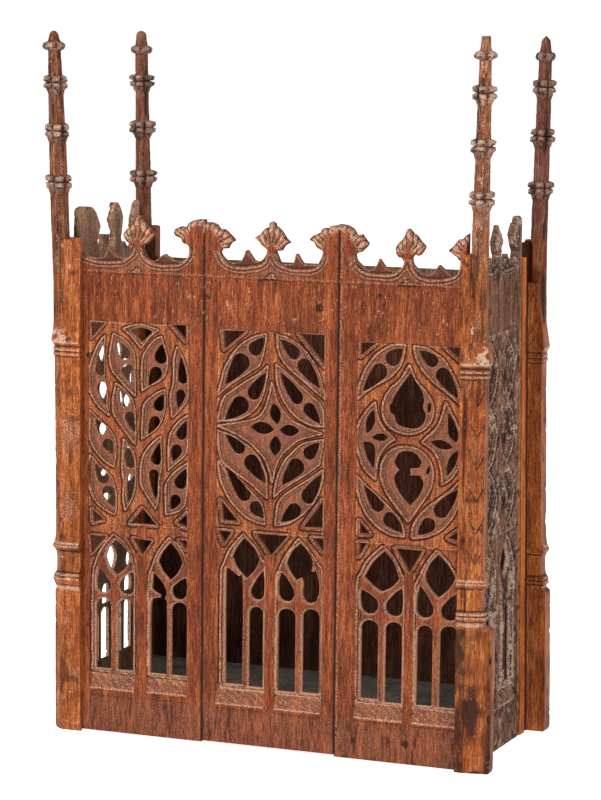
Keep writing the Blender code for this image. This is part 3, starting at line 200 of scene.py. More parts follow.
def left_plan():
    """The left panel: a branching tree of mouchettes over two arches."""
    lights = each(teardrop, [
        (-178, 416, -180.5, 388, 6), (-173.3, 350, -178.5, 369, 6.5), (-162.5, 420, -153.5, 407, 7),
        (-142.5, 373, -149.5, 389, 7), (-158.5, 369, -152.5, 356.5, 6), (-139.8, 323, -147, 340, 6),
        (-185.6, 336, -178.4, 325.5, 6), (-166.5, 299.5, -172, 309.5, 6.3), (-186.3, 288, -177.5, 274.5, 7),
        (-165, 243, -171, 258, 7.5), (-150, 310, -145.8, 291.5, 5.5), (-147.2, 248.5, -144.3, 275.5, 5),
        (-110.3, 419.3, -112, 405.5, 7.5), (-125.5, 374, -117.5, 388, 7), (-108.8, 366.7, -114, 354.5, 6.5),
        (-125.5, 323, -118.2, 336.5, 6.3), (-111.7, 316, -116.8, 297.5, 6.3), (-117, 254, -119.5, 281, 5.5),
        (-89.5, 407, -87, 384, 5.5), (-92, 352, -89.5, 367, 5.5), (-82, 340, -88.5, 325.5, 6),
        (-97.5, 295.7, -93.5, 308.5, 6), (-81.6, 290, -89.2, 274.5, 7), (-99.4, 245, -94.5, 255.5, 6),
        (-182, 177, -176, 158.5, 8), (-141.7, 175.6, -149.3, 159.8, 9), (-81.2, 174, -89.2, 159, 8.6),
    ]) + each(lancet, [
        (-184.4, -167.5, 69, 145), (-159.4, -141.7, 69, 145), (-98, -80, 69, 147),
    ]) + [
        smooth_outline([(-162.5, 208.5), (-170, 200), (-174, 190), (-169.5, 179), (-161, 171), (-151, 179),
                        (-145, 190), (-152, 200)]),
        smooth_outline([(-99.7, 210.3), (-108.5, 200), (-113.5, 189.4), (-108.5, 179), (-99.7, 170),
                        (-91, 179), (-86, 190), (-91, 200.5)]),
        smooth_outline([(-119, 177), (-120.7, 160), (-117, 156.5), (-110.5, 153.5), (-111, 150.5),
                        (-118, 149.5), (-121.5, 140), (-121.5, 69), (-103.5, 69), (-103.5, 142), (-106, 149),
                        (-104, 156), (-108, 166)], corner=0.9),
    ]
    spandrels = each(triangle, [
        (-190, 438, -174, 439, -189, 423), (-98, 440, -82.5, 440, -82.5, 424),
        (-188, 240, -175, 229.7, -186.8, 226), (-130.5, 245, -144, 228, -114, 228),
        (-80, 243, -90.7, 232.6, -80, 227.5), (-191, 212, -172, 212, -189, 192.6),
        (-141, 212, -120, 211, -130.7, 195), (-89, 214, -80, 214, -80, 205),
    ]) + [
        smooth_outline([(-145.5, 431), (-139, 434), (-133, 435), (-127, 434), (-120, 431), (-132.7, 419.6)]),
    ]
    fields = [
        [(-173.5, 425), (-181, 415), (-188, 400), (-191, 383), (-190, 366), (-182, 352), (-168.5, 341.5),
         (-171.5, 354), (-171.5, 368), (-174, 382), (-175, 404)],
        [(-191, 345), (-191, 330), (-190, 315), (-184, 303), (-175, 294), (-163, 287), (-161, 300),
         (-162, 315), (-167, 325), (-178, 334)],
        [(-190, 298), (-192, 280), (-191, 265), (-186, 253), (-177, 243), (-162, 236), (-160, 250),
         (-164, 272), (-172, 281), (-182, 289)],
        [(-164, 427), (-155, 424), (-146, 417), (-140.5, 408), (-139.5, 392), (-139, 364), (-147, 370.5),
         (-156, 379), (-165, 390), (-168, 404)],
        [(-161, 375), (-153, 370), (-144, 361), (-139.5, 349), (-138.5, 313), (-147, 322), (-156, 333),
         (-163, 344), (-164, 358)],
        [(-151.5, 317), (-144, 308), (-139.5, 298), (-138.5, 270), (-142, 256), (-150, 242), (-152, 256),
         (-151.5, 272), (-153.5, 290)],
        [(-109.5, 427), (-119, 421), (-127, 411), (-131, 398), (-131, 370), (-122, 376), (-110, 382),
         (-104, 392), (-102.5, 405)],
        [(-106, 372), (-114, 368), (-124, 360), (-129.5, 350), (-131, 319), (-122, 325), (-112, 334),
         (-107, 345), (-105, 358)],
        [(-110, 322), (-118, 316), (-126, 306), (-131, 296), (-132, 280), (-130, 267), (-115, 246),
         (-112, 260), (-112, 274), (-109, 298)],
        [(-92, 417), (-95, 405), (-95, 392), (-96, 378), (-98.5, 364), (-97, 343), (-88, 352), (-81, 362),
         (-79.5, 378), (-82, 398)],
        [(-79, 346), (-88, 340), (-97, 329), (-100.5, 315), (-100.5, 288.5), (-92, 296.5), (-84, 303),
         (-80, 312)],
        [(-79, 296), (-88, 290), (-97, 282), (-103.5, 270), (-103, 241), (-95, 243.2), (-87, 247),
         (-81, 258)],
        [(-153, 433.5), (-133, 438.2), (-113, 433.5), (-123, 426), (-132.7, 414.5), (-142, 425)],
        [(-163.5, 214.5), (-152, 207), (-143.5, 195), (-140, 180), (-139, 160), (-139, 66.5), (-187, 66.5),
         (-187, 165), (-184, 182), (-176, 199)],
        [(-99.7, 216), (-88, 206), (-80.5, 192), (-78.5, 176), (-78.5, 66.5), (-122.5, 66.5), (-122.5, 165),
         (-120, 180), (-112, 200)],
    ]
    crest = [
        (-205, 521), (-203, 518), (-198, 512), (-193, 508), (-187, 506.5), (-181, 506), (-175, 508),
        (-172.5, 512), (-170.5, 519.5), (-168, 516), (-166, 513), (-160, 509), (-152, 507), (-145, 509),
        (-142, 514), (-141.5, 520), (-145, 522), (-148, 524), (-151, 526), (-154, 531), (-151, 536),
        (-145, 541), (-140, 547), (-138.5, 550.5), (-136, 552), (-133, 551), (-131.5, 547), (-126, 541),
        (-122, 537), (-119, 533), (-121, 529), (-124, 525.5), (-127, 523), (-132, 521), (-132.5, 520),
        (-128, 510), (-124, 506), (-120, 505), (-115, 507), (-110, 511), (-106.5, 513.3), (-104, 511),
        (-101, 510), (-96, 507), (-90, 506), (-83, 508), (-80, 511), (-78.5, 520), (-81, 524), (-84.5, 525),
        (-89, 530), (-94, 532), (-97, 535.5), (-96, 539), (-92, 541), (-88, 542.5), (-83, 540.5), (-82, 544),
        (-80, 546), (-76, 548.5), (-70, 550.3), (-61.5, 550.5),
    ]
    return panel_plan(
        left=-208.5, base=2.0, lights=lights, spandrels=spandrels, fields=fields, crest=crest, fillet=1.7,
        leaves=[(-136.8, 524, 1.0), (-70, 526, -1.0)], windows=[(-191.5, -78, 226, 440.5)],
        openings=[(-190, -136, 60, 226), (-124, -78, 60, 226)],
        sills=[(-189, -138, 49, 42), (-124, -79, 50, 43)],
        bays=[(-203.5, -141.5, 503.5), (-132.5, -79.0, 502.5)], stems=[-137.0],
        stains=[(-191, 404, 2.5), (-200, 300, 2.0)], chips=[(-78, 470, 4.5, 3.0)])


def middle_plan():
    """The middle panel: eight mouchettes round a four-pointed star, over two arches."""
    lights = each(teardrop, [
        (5, 432.3, -7, 419.5, 7.5), (-39.3, 380.7, -22.5, 404.5, 9.5), (6.7, 396.7, -8, 374, 7.5),
        (-39.6, 343.8, -23, 360, 9.5), (20.4, 430.7, 35.4, 417.5, 7), (64.3, 382, 47, 404.3, 8),
        (20.4, 396.7, 39, 371.5, 7), (65, 345.4, 52.8, 360, 7), (-39.3, 329.7, -24, 316, 7),
        (6.7, 279.7, -9.6, 300.5, 9), (-37.5, 295.7, -18.3, 268, 8), (6, 243.5, -4.5, 253.6, 7.5),
        (64.3, 327, 53.5, 315, 7), (23.5, 280, 39, 299.5, 9), (68, 295, 52.8, 270.3, 8),
        (22.8, 241.3, 37.5, 254, 8), (5.2, 189.4, -1.8, 165.5, 7.8), (24, 189.4, 30.4, 167.3, 8.7),
    ]) + each(leaf, [
        (13.5, 364.5, 18, 342.5, 12.4), (-11.3, 338.5, 14.6, 337, 12.8), (20.3, 337, 42.2, 337, 12),
        (16.5, 331, 15.5, 309.4, 13),
    ]) + each(lancet, [
        (-11, 5, 65, 150), (21.6, 40.3, 63.5, 151), (48.4, 66.8, 64.4, 152.6),
    ]) + [
        smooth_outline([(-17, 222), (-25, 212), (-30, 201.5), (-25, 190), (-14.5, 179), (-5, 189),
                        (0.3, 200.6), (-6, 212)]),
        smooth_outline([(-36, 189.4), (-37.5, 170), (-37, 66), (-18.5, 66), (-18.5, 172),
                        (-24, 181)], corner=0.9),
        smooth_outline([(45.2, 220.8), (36, 212), (29.7, 199), (34, 190), (41, 181.3), (44.5, 184),
                        (47, 184.5), (48.5, 179), (48, 168), (51, 161), (57, 158.5), (63, 161.5), (66, 172),
                        (65, 184), (61.5, 195), (60, 191.5), (57.3, 193), (58.5, 202),
                        (54, 212)], corner=0.8),
    ]
    spandrels = each(triangle, [
        (-41.4, 437, -16, 437.7, -39.3, 418), (42.6, 437.7, 70, 437.7, 70, 406.5),
        (-42, 260, -40, 239, -22.6, 238.7), (70, 267.4, 70, 239, 49, 238.4),
        (-45, 227.7, -30, 227.7, -38.4, 215), (-3, 227.7, 31.8, 227.7, 13.2, 205.5),
        (59, 227.7, 71, 227.7, 71, 214.4),
    ])
    fields = [
        [(7, 435.5), (-8, 431.5), (-24, 420), (-37, 401), (-43, 382), (-45.5, 370.5), (-37, 378.5),
         (-23, 388), (-10, 397), (1, 406)],
        [(18.5, 436), (34, 431), (50, 419), (63, 401), (69, 383), (71, 372.5), (62, 379.5), (48, 390.5),
         (33, 402), (22, 415)],
        [(8.5, 402.5), (0, 394.5), (-12, 387), (-26, 377.5), (-40, 366), (-46, 343), (-25, 346), (-9, 354),
         (1, 367), (6, 383)],
        [(18, 405), (28, 397.5), (43, 385.5), (57, 374), (67.5, 364), (70, 344), (54, 346), (38.5, 354.5),
         (27, 368), (20, 386)],
        [(-45.5, 332), (-26, 326), (-7, 314), (4, 299), (8.5, 284), (9, 266), (0, 273), (-13, 283),
         (-30, 293), (-42, 304)],
        [(69.5, 330), (47, 323.5), (31, 308.5), (20.5, 288), (17.5, 268), (24.5, 275.5), (36, 283.5),
         (53, 295), (66, 305)],
        [(-44.5, 300.5), (-33, 286), (-16, 276), (-4, 266.5), (4, 257), (7, 238.5), (-10, 243), (-25, 254),
         (-37, 270), (-43, 286)],
        [(70, 299), (56, 289), (39.5, 277.5), (26.5, 268), (20.5, 256), (18.5, 238), (34, 242.5), (50, 254),
         (63, 270), (69, 286)],
        [(13.5, 386), (18.5, 370), (26, 357), (40, 345.5), (68, 336.5), (43, 328.5), (26, 313.5), (18, 299),
         (14.5, 283), (11, 297), (3, 311), (-18, 327.5), (-45, 337.5), (-24, 342), (-3, 348), (6, 358),
         (10.5, 371)],
        [(-16.7, 226.5), (-4, 214), (4, 200), (7, 185), (7, 61.5), (-41, 61.5), (-41, 175), (-38.5, 192),
         (-31, 209)],
        [(44.5, 226), (57, 213), (66, 200), (70, 183), (70, 60.5), (20.5, 60.5), (20.5, 175), (23, 190),
         (32, 209)],
    ]
    crest = [
        (-61.5, 548), (-59, 547), (-57, 548), (-50, 546), (-46, 541.5), (-41, 541), (-36, 537), (-30.5, 532),
        (-29.5, 529.5), (-34, 527), (-37, 521.5), (-43.5, 521), (-45, 518), (-44, 515), (-40, 510.5),
        (-35, 508), (-29, 507), (-23, 509), (-20, 512), (-18, 517), (-15.5, 521), (-11, 515), (-8, 511),
        (-4, 509.5), (0, 510.5), (4, 514), (7, 519.5), (7.5, 522), (3, 525), (0, 526.5), (-2, 529.5),
        (-7.5, 533.5), (-1, 538), (1.5, 541), (5, 544), (8, 545), (8, 549), (11.5, 551), (15, 549),
        (15.5, 546), (18, 545), (22, 541), (24, 538), (27, 534), (31.5, 530), (25.5, 527), (22, 521.5),
        (15.5, 521), (17, 518), (20, 511), (22, 508), (30, 508), (35.5, 509), (37, 514), (38, 519),
        (39, 519.5), (43, 513), (47, 509), (54, 508.5), (62, 509), (67, 519), (67.5, 523), (61.5, 525.5),
        (57, 531), (53, 534.5), (56, 537.5), (60, 540), (64, 542), (66, 545.5), (69, 546.5), (73, 546),
        (75, 549), (80, 549.5), (85.5, 551),
    ]
    return panel_plan(
        left=-61.5, base=3.5, lights=lights, spandrels=spandrels, fields=fields, crest=crest, fillet=1.9,
        leaves=[(11.7, 524, 1.0), (-61.5, 524, -1.0), (85.5, 526, -1.0)], windows=[(-46.5, 72, 228, 438.5)],
        openings=[(-45, 8, 60, 228), (19, 71.5, 60, 228)], sills=[(-46, 8, 46, 42), (19.5, 71, 46, 42)],
        bays=[(-44.0, 7.5, 504.0), (15.5, 67.5, 504.0)], stems=[11.5],
        stains=[(-56, 472, 2.2), (65, 465, 3.0), (37.5, 452, 1.5)],
        chips=[(38, 451, 5.0, 3.0), (-36, 465, 2.5, 6.0)])


def right_plan():
    """The right panel: two pointed rings, one over the other, in an oval, over two arches."""
    lights = each(teardrop, [
        (152.5, 428, 141.6, 417.5, 8), (110.6, 382, 127.5, 403, 8.5), (169.6, 426.8, 182.6, 417.5, 7),
        (211.2, 380.4, 195, 403, 8), (112.3, 287, 127.5, 267, 7.5), (156.5, 239.6, 141.3, 252.3, 8),
        (213, 288.4, 195, 266, 8), (170.6, 239, 181.9, 250, 7.5), (111.3, 178, 120.6, 162.8, 9.3),
        (155.6, 183, 147.4, 162.7, 9.6), (174.2, 187, 180, 163.2, 8.8), (215.3, 183, 206.2, 163, 9.4),
    ]) + each(leaf, [
        (122, 364, 115, 339, 9.5), (120.3, 335.5, 138.4, 337, 8), (183, 334.8, 206.5, 330.6, 9),
        (181.2, 375, 180.5, 364, 4.5), (182.5, 310.5, 179.5, 301, 4),
    ]) + each(lancet, [
        (112, 130.2, 65, 147), (138, 156.5, 63, 147), (172, 188.4, 63.5, 146.6), (196.3, 215.8, 63.5, 147.7),
    ]) + [
        smooth_outline([(111, 330), (116, 331), (122.5, 329), (124.5, 320), (123.2, 303),
                        (115, 315)], corner=0.9),
        smooth_outline([(201, 366), (200.5, 353), (202, 342), (210, 335.5), (212, 344),
                        (208, 356)], corner=0.9),
        smooth_outline([(212.3, 328.3), (205, 323), (200.7, 314), (200.7, 301.4), (207, 309),
                        (211, 318)], corner=0.9),
        smooth_outline([(161.2, 404.3), (150, 389), (143, 378), (141.5, 373.5), (138.4, 369), (140, 361.8),
                        (143.5, 359.5), (147, 351), (154, 348), (160, 347.2), (166, 347.5), (173.5, 351.5),
                        (177.3, 361), (174.3, 369), (175.2, 378), (171, 391)], corner=0.8),
        smooth_outline([(158, 324), (149, 321), (144.2, 312), (147, 307), (150, 304), (145.5, 299),
                        (145, 292), (151, 280), (162.3, 268), (172, 280), (176, 292), (172, 300),
                        (162, 299.5), (162, 306.5), (171, 307.5), (174, 314), (167, 322)], corner=0.8),
        smooth_outline([(136.3, 220), (124, 208), (114.5, 191.8), (124, 183), (133.5, 177.6), (144, 183),
                        (152, 191.8), (146, 208)]),
        smooth_outline([(193.2, 220.8), (184, 210), (179.8, 196.6), (185, 185), (194, 176.5), (205, 186),
                        (212, 198.2), (204, 211)]),
    ]
    spandrels = each(triangle, [
        (108.7, 432.3, 124.6, 432.6, 108.7, 419), (199, 432.3, 214.2, 432.3, 213.8, 420.3),
        (110, 249.3, 110, 236.7, 121, 236.7), (215.7, 247, 205, 239, 213.8, 236.7),
        (109.7, 227, 117.7, 227, 109.7, 213.5), (149, 224, 177.4, 224, 163.7, 199.8),
    ])
    fields = [
        [(155.5, 431.5), (141, 430), (126, 420), (114, 403), (108, 388), (107, 376), (117, 384.5),
         (130, 393), (143, 401.5), (152, 414)],
        [(165.5, 431), (180, 429), (195, 420), (207, 403), (213.5, 388), (214.6, 376), (204, 385),
         (190, 394), (177, 406), (168.5, 419)],
        [(125, 372), (127.5, 358), (133, 347), (146, 336), (137, 329), (129.5, 318), (126.5, 305),
         (126, 294), (114, 306), (107.5, 322), (106.5, 338), (111, 355)],
        [(200, 376), (196.5, 362), (191, 350), (176, 335), (187, 328), (194, 317), (197, 303), (197, 293),
         (207, 301), (213.5, 315), (215.5, 333), (213, 352)],
        [(160.5, 411), (168, 396), (178, 386), (185.5, 374), (185, 360), (177, 348.5), (160, 342.5),
         (143, 347), (134.5, 358), (134, 372), (141, 386), (152, 396)],
        [(162, 253), (172, 268), (182, 283), (187, 299), (184, 315), (174, 325), (159, 328.5), (145, 325),
         (135.5, 315), (132.5, 300), (138, 283), (150, 267)],
        [(107, 295), (118, 284), (132, 273.5), (146, 261), (155, 250), (157.5, 237), (143, 239), (128, 247),
         (116, 260), (108.5, 277)],
        [(216, 297), (205, 286), (190, 274.5), (176, 261.5), (168, 249), (166.5, 236.5), (182, 239.5),
         (196, 247), (208, 260), (215, 278)],
        [(135.5, 225), (148, 212), (155, 198), (158, 180), (158, 60.5), (108.5, 60.5), (108.5, 178),
         (112, 195), (122, 212)],
        [(193, 225), (206, 212), (214.5, 198), (217.5, 180), (217.5, 60.5), (170.5, 60.5), (170.5, 175),
         (173.5, 192), (182, 210)],
    ]
    crest = [
        (85.5, 551), (92, 550), (95, 548.5), (98, 547), (101, 543), (102, 540.5), (108, 541.5), (110.5, 538),
        (113, 535), (115.2, 532), (113, 529), (110, 526), (107, 523.5), (101.5, 522), (101.5, 519),
        (103, 515), (107, 511), (113, 506.5), (118, 505.5), (121, 507), (125, 512), (127, 518), (132, 511),
        (135, 508.5), (139, 506), (144, 506), (148, 507.5), (152, 511), (153.5, 516), (150.5, 520),
        (148.5, 519.5), (145, 524), (144, 529), (146, 533), (150, 537), (152.5, 540), (154, 544), (156, 548),
        (157.5, 549.3), (161, 546), (162.5, 543.5), (165, 543), (170, 537), (174, 533), (175, 531),
        (173, 527), (169, 522), (165, 524), (162, 521), (161.5, 518), (163, 513), (166, 510), (170, 506),
        (175, 503.5), (180, 503.5), (184, 505), (187, 510), (190, 514), (197, 508), (202, 504.5), (205, 502),
        (210, 506), (212, 515), (212, 519), (210, 519), (208, 522), (204, 525), (200, 528.5), (202, 531),
        (204, 533), (207, 537), (210, 540.3), (213, 540), (217, 544), (222, 547), (232.5, 548),
    ]
    return panel_plan(
        left=85.5, base=1.5, lights=lights, spandrels=spandrels, fields=fields, crest=crest, fillet=2.3,
        leaves=[(158, 522, 1.0), (85.5, 526, -1.0), (232.5, 526, -1.0)], windows=[(106, 218, 226.5, 433)],
        openings=[(107, 159.5, 60, 226), (169, 218, 60, 226)],
        sills=[(106.5, 159, 46, 43), (169.5, 220, 46, 43)],
        bays=[(101.5, 153.5, 502.0), (161.5, 212.5, 500.0)], stems=[157.5],
        stains=[(106.5, 20.8, 1.5), (163, 22.4, 2.5), (153.5, 537, 1.6), (164, 535.5, 1.6)])


def right_side_plan():
    """A side panel: two chains of pointed ovals over two arches."""
    lights = []
    fields = []
    for x, mirror in ((44.0, 1.0), (103.0, -1.0)):
        for low in (236.0, 302.0, 368.0):
            fields.append([(x, low), (x + 15, low + 12), (x + 25, low + 31), (x + 15, low + 50),
                           (x, low + 62), (x - 15, low + 50), (x - 25, low + 31), (x - 15, low + 12)])
            lights += each(teardrop, [(x + 4 * mirror, low + 54, x + 6 * mirror, low + 38, 7.5),
                                      (x - 3 * mirror, low + 8, x - 6 * mirror, low + 22, 7.5)])
        fields.append([(x, 224), (x + 14, 210), (x + 22, 194), (x + 24, 176), (x + 24, 62), (x - 24, 62),
                       (x - 24, 176), (x - 22, 194), (x - 14, 210)])
        lights.append(smooth_outline([(x, 217), (x - 9, 208), (x - 14, 198), (x - 9, 187),
                                      (x, 179), (x + 9, 187), (x + 14, 198), (x + 9, 208)]))
        lights += each(teardrop, [(x - 21, 186, x - 13, 165, 8.5), (x + 21, 186, x + 13, 165, 8.5)])
        lights += each(lancet, [(x - 21.5, x - 4, 66, 150), (x + 4, x + 21.5, 66, 150)])
    crest = [
        (0.3, 546), (12, 545), (16.8, 540.8), (22.5, 539.8), (33, 532), (28.6, 527.5), (25, 522),
        (17.5, 519), (21.5, 510.8), (29, 507), (35, 509.6), (40, 519), (45.9, 510.4), (53, 508),
        (58.9, 511.5), (62.3, 519.5), (58.5, 523), (56.7, 528.5), (54.5, 533), (60, 540.1), (64.2, 545.2),
        (67.5, 550), (71.6, 545), (77.1, 539.6), (84, 532), (80.2, 528.4), (77, 524), (70.7, 519.5),
        (75.4, 511.7), (84, 508), (92.2, 510.4), (99, 519), (106.2, 509.6), (115, 507), (124.4, 510.8),
        (129.5, 519), (123, 525), (119.6, 531.6), (115.5, 537), (125.2, 547.2), (130.5, 548.6), (135, 554),
        (146.7, 554.5),
    ]
    return panel_plan(
        left=0.0, base=1.0, lights=lights, fields=fields, crest=crest, fillet=1.9,
        leaves=[(66.5, 524, 1.0), (0, 524, -1.0), (147, 528, -1.0)], windows=[(17, 130, 228, 440)],
        openings=[(19, 128, 60, 228)], sills=[(19, 69, 46, 42), (78, 128, 46, 42)],
        bays=[(17.5, 62.0, 503.0), (70.7, 129.5, 503.0)], crust=1.0, patches=0.12)


def left_side_plan():
    """The other side panel, plainer: scattered leaf-shaped lights in sunk fields over four lancets."""
    lights = each(leaf, [
        (92, 387, 92, 412, 17), (87.5, 346, 87.5, 371, 22), (51, 384, 51, 406, 16),
        (24, 380.5, 47, 380.5, 10), (16, 351, 16, 372, 14), (28, 330, 28, 348, 19), (88, 306, 88, 324, 21),
        (18, 287, 30, 287, 6), (46, 331, 46, 352, 14), (70, 286, 80, 286, 6), (77, 266.5, 95, 266.5, 9),
        (12, 252.5, 33, 252.5, 10), (69, 238, 95, 238, 10), (112, 384, 112, 406, 14),
        (112, 340, 112, 362, 14), (111, 296, 111, 318, 14), (110, 252, 110, 274, 14), (46, 290, 46, 312, 14),
        (24, 150, 24, 172, 15), (106, 148, 106, 176, 16),
    ]) + each(lancet, [
        (73.5, 91, 121.5, 143.5), (17.3, 35.3, 126, 143.5), (18.8, 36.2, 61, 117.5), (43, 60, 61, 117.5),
        (74.6, 93.7, 61, 117.5), (100, 118, 61, 117.5),
    ]) + [
        smooth_outline([(69, 186), (59, 177), (54, 168), (62, 155), (72, 145.5), (80, 154), (85, 164),
                        (79, 176)]),
    ]
    fields = [
        [(6.5, 236), (59.5, 228), (59.5, 414), (48, 430), (20, 430), (6.5, 414)],
        [(64.5, 228), (124, 236), (124, 414), (108, 430), (80, 430), (64.5, 414)],
        [(6.5, 56), (62, 56), (62, 140), (46, 143), (46, 192), (34, 204), (18, 204), (6.5, 186)],
        [(66, 56), (124, 56), (124, 186), (110, 204), (80, 204), (70, 192), (50, 196), (50, 144), (66, 141)],
    ]
    crest = [
        (0.3, 556), (3, 557), (8, 552), (13, 543), (16.5, 535.5), (14, 529), (8, 524), (10, 510), (20, 506),
        (30, 508), (36, 514), (42, 510), (46.5, 519), (44, 525), (40.3, 540), (46, 550), (53, 556),
        (57, 557.5), (62, 553), (68, 545), (71, 538.6), (66, 530), (61, 524), (59.6, 516), (64, 508),
        (70, 506), (74, 510), (75.5, 524), (88, 525), (90, 512), (96, 508), (103, 516), (103, 522),
        (100, 527), (96, 534), (101, 541), (107, 549), (114, 554), (121, 556), (135, 557), (146.7, 556),
    ]
    return panel_plan(
        left=0.0, base=1.0, lights=lights, fields=fields, crest=crest, fillet=1.9,
        leaves=[(55, 522, 1.0), (0, 526, -1.0), (140, 526, -1.0)], openings=[(6, 125, 56, 430)],
        sills=[(9, 61, 44, 40), (68, 122, 44, 40)], bays=[(12.0, 44.0, 503.0), (62.0, 101.0, 503.0)],
        crust=0.6, patches=0.6, inside={"tint": 1.0, "wear": 0.35})


# Distances and noise, all on whole arrays.

def distance_to(points, outline, reach):
    """Distance in mm from points to a closed outline, positive inside, and the nearest outline points.

    Each side is measured by the foot of the perpendicular on it, kept between its ends. A point is
    inside when a ray from it crosses the outline an odd number of times. Beyond reach it is -reach.
    """
    signed = np.full(len(points), -float(reach))
    nearest = points.copy()
    low = outline.min(0) - reach
    high = outline.max(0) + reach
    chosen = np.flatnonzero(((points > low) & (points < high)).all(1))
    if len(chosen) == 0:
        return signed, nearest
    p = points[chosen]
    best = np.full(len(p), float(reach) ** 2)
    foot = p.copy()
    inside = np.zeros(len(p), bool)
    for a, b in zip(outline, np.roll(outline, -1, 0)):
        side = b - a
        share = np.clip(((p - a) @ side) / max(1e-9, side @ side), 0.0, 1.0)
        at = a + share[:, None] * side
        square = ((p - at) ** 2).sum(1)
        closer = square < best
        best = np.where(closer, square, best)
        foot[closer] = at[closer]
        if a[1] != b[1]:
            crosses = (a[1] > p[:, 1]) != (b[1] > p[:, 1])
            inside ^= crosses & (p[:, 0] < a[0] + (p[:, 1] - a[1]) * side[0] / side[1])
    distance = np.sqrt(best)
    signed[chosen] = np.where(inside, distance, -distance)
    nearest[chosen] = foot
    return signed, nearest


def union_distance(points, outlines, reach):
    """The signed distance to the nearest of several outlines, with the nearest point."""
    signed = np.full(len(points), -float(reach))
    nearest = points.copy()
    for outline in outlines:
        d, foot = distance_to(points, outline, reach)
        closer = d > signed
        signed = np.where(closer, d, signed)
        nearest[closer] = foot[closer]
    return signed, nearest


def crest_distance(points, crest, reach):
    """Distance inside the cresting's outline, measured near it only: further down everything is inside."""
    signed = np.full(len(points), float(reach))
    nearest = points.copy()
    high = points[:, 1] > CREST_FOOT - 4.0
    signed[high], nearest[high] = distance_to(points[high], crest, reach)
    return signed, nearest


def noise(points, size, seed):
    """Smooth value noise from -1 to 1: random heights on a lattice of this size, blended with a cubic."""
    table = np.random.default_rng(seed).uniform(-1.0, 1.0, (128, 128))
    q = points / np.array(size, float)
    cell = np.floor(q).astype(int)
    f = q - cell
    f = f * f * (3.0 - 2.0 * f)
    i, j = cell[:, 0] % 128, cell[:, 1] % 128
    i1, j1 = (i + 1) % 128, (j + 1) % 128
    low = table[i, j] * (1 - f[:, 0]) + table[i1, j] * f[:, 0]
    high = table[i, j1] * (1 - f[:, 0]) + table[i1, j1] * f[:, 0]
    return low * (1 - f[:, 1]) + high * f[:, 1]


def ramp(value, start, end):
    """Smooth step from 0 at start to 1 at end."""
    t = np.clip((value - start) / (end - start), 0.0, 1.0)
    return t * t * (3.0 - 2.0 * t)


def bump(value, centre, width):
    """A Gaussian hump of height one."""
    return np.exp(-((value - centre) / width) ** 2)


def dome(value, reach):
    """A quarter of a sine from 0 at zero to 1 at reach."""
    return np.sin(0.5 * math.pi * np.clip(value / reach, 0.0, 1.0))


# Meshes.

def new_piece(name, points, triangles, material, masks, sharp=math.radians(38.0)):
    """An object from a point array in metres and an array of triangles, smooth but for its sharp edges."""
    mesh = bpy.data.meshes.new(name)
    mesh.vertices.add(len(points))
    mesh.vertices.foreach_set("co", np.ascontiguousarray(points, np.float32).ravel())
    count = len(triangles)
    mesh.loops.add(count * 3)
    mesh.loops.foreach_set("vertex_index", np.ascontiguousarray(triangles, np.int32).ravel())
    mesh.polygons.add(count)
    mesh.polygons.foreach_set("loop_start", np.arange(0, count * 3, 3, dtype=np.int32))
    mesh.polygons.foreach_set("loop_total", np.full(count, 3, np.int32))
    mesh.update(calc_edges=True)
    mesh.validate()
    mesh.polygons.foreach_set("use_smooth", np.ones(len(mesh.polygons), bool))
    mesh.set_sharp_from_angle(angle=sharp)
    for key, values in masks.items():
        layer = mesh.attributes.new(key, "FLOAT", "POINT")
        layer.data.foreach_set("value", np.ascontiguousarray(values, np.float32))
    mesh.materials.append(material)
    obj = bpy.data.objects.new(name, mesh)
    bpy.context.scene.collection.objects.link(obj)
    return obj


def box_shift():
    """What centring on the ground added to the solids, in mm: read off the left panel's corner."""
    low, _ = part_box("front_panel_left")
    return np.array([low[0] / MM - LEFT_EDGE, low[1] / MM, 0.0])


def to_world(points):
    """From mm of the plan to metres of the frame, racked as the solids are.

    The back right foot goes outwards and its top inwards, in proportion to the distance from the
    front and from the middle.
    """
    across = np.clip(points[:, 0] / HALF_WIDTH, 0.0, 1.0)
    behind = np.clip(points[:, 1] / DEPTH, 0.0, 1.0)
    level = 1.0 - np.minimum(points[:, 2], STILE_TOP) / RACK_LEVEL
    racked = points.copy()
    racked[:, 0] += RACK_FOOT * across * behind * level
    return (racked + box_shift()) * MM


def grid_lines(stops, fine, coarse):
    """Grid coordinates over spans of (start, end, is_fine), each cut evenly at the fine or coarse pitch."""
    lines = [np.array([stops[0][0]])]
    for start, end, dense in stops:
        pitch = fine if dense else coarse
        count = max(1, int(round((end - start) / pitch)))
        lines.append(np.linspace(start, end, count + 1)[1:])
    return np.concatenate(lines)


# The carving of a panel. Each step deepens the face and paints its masks.

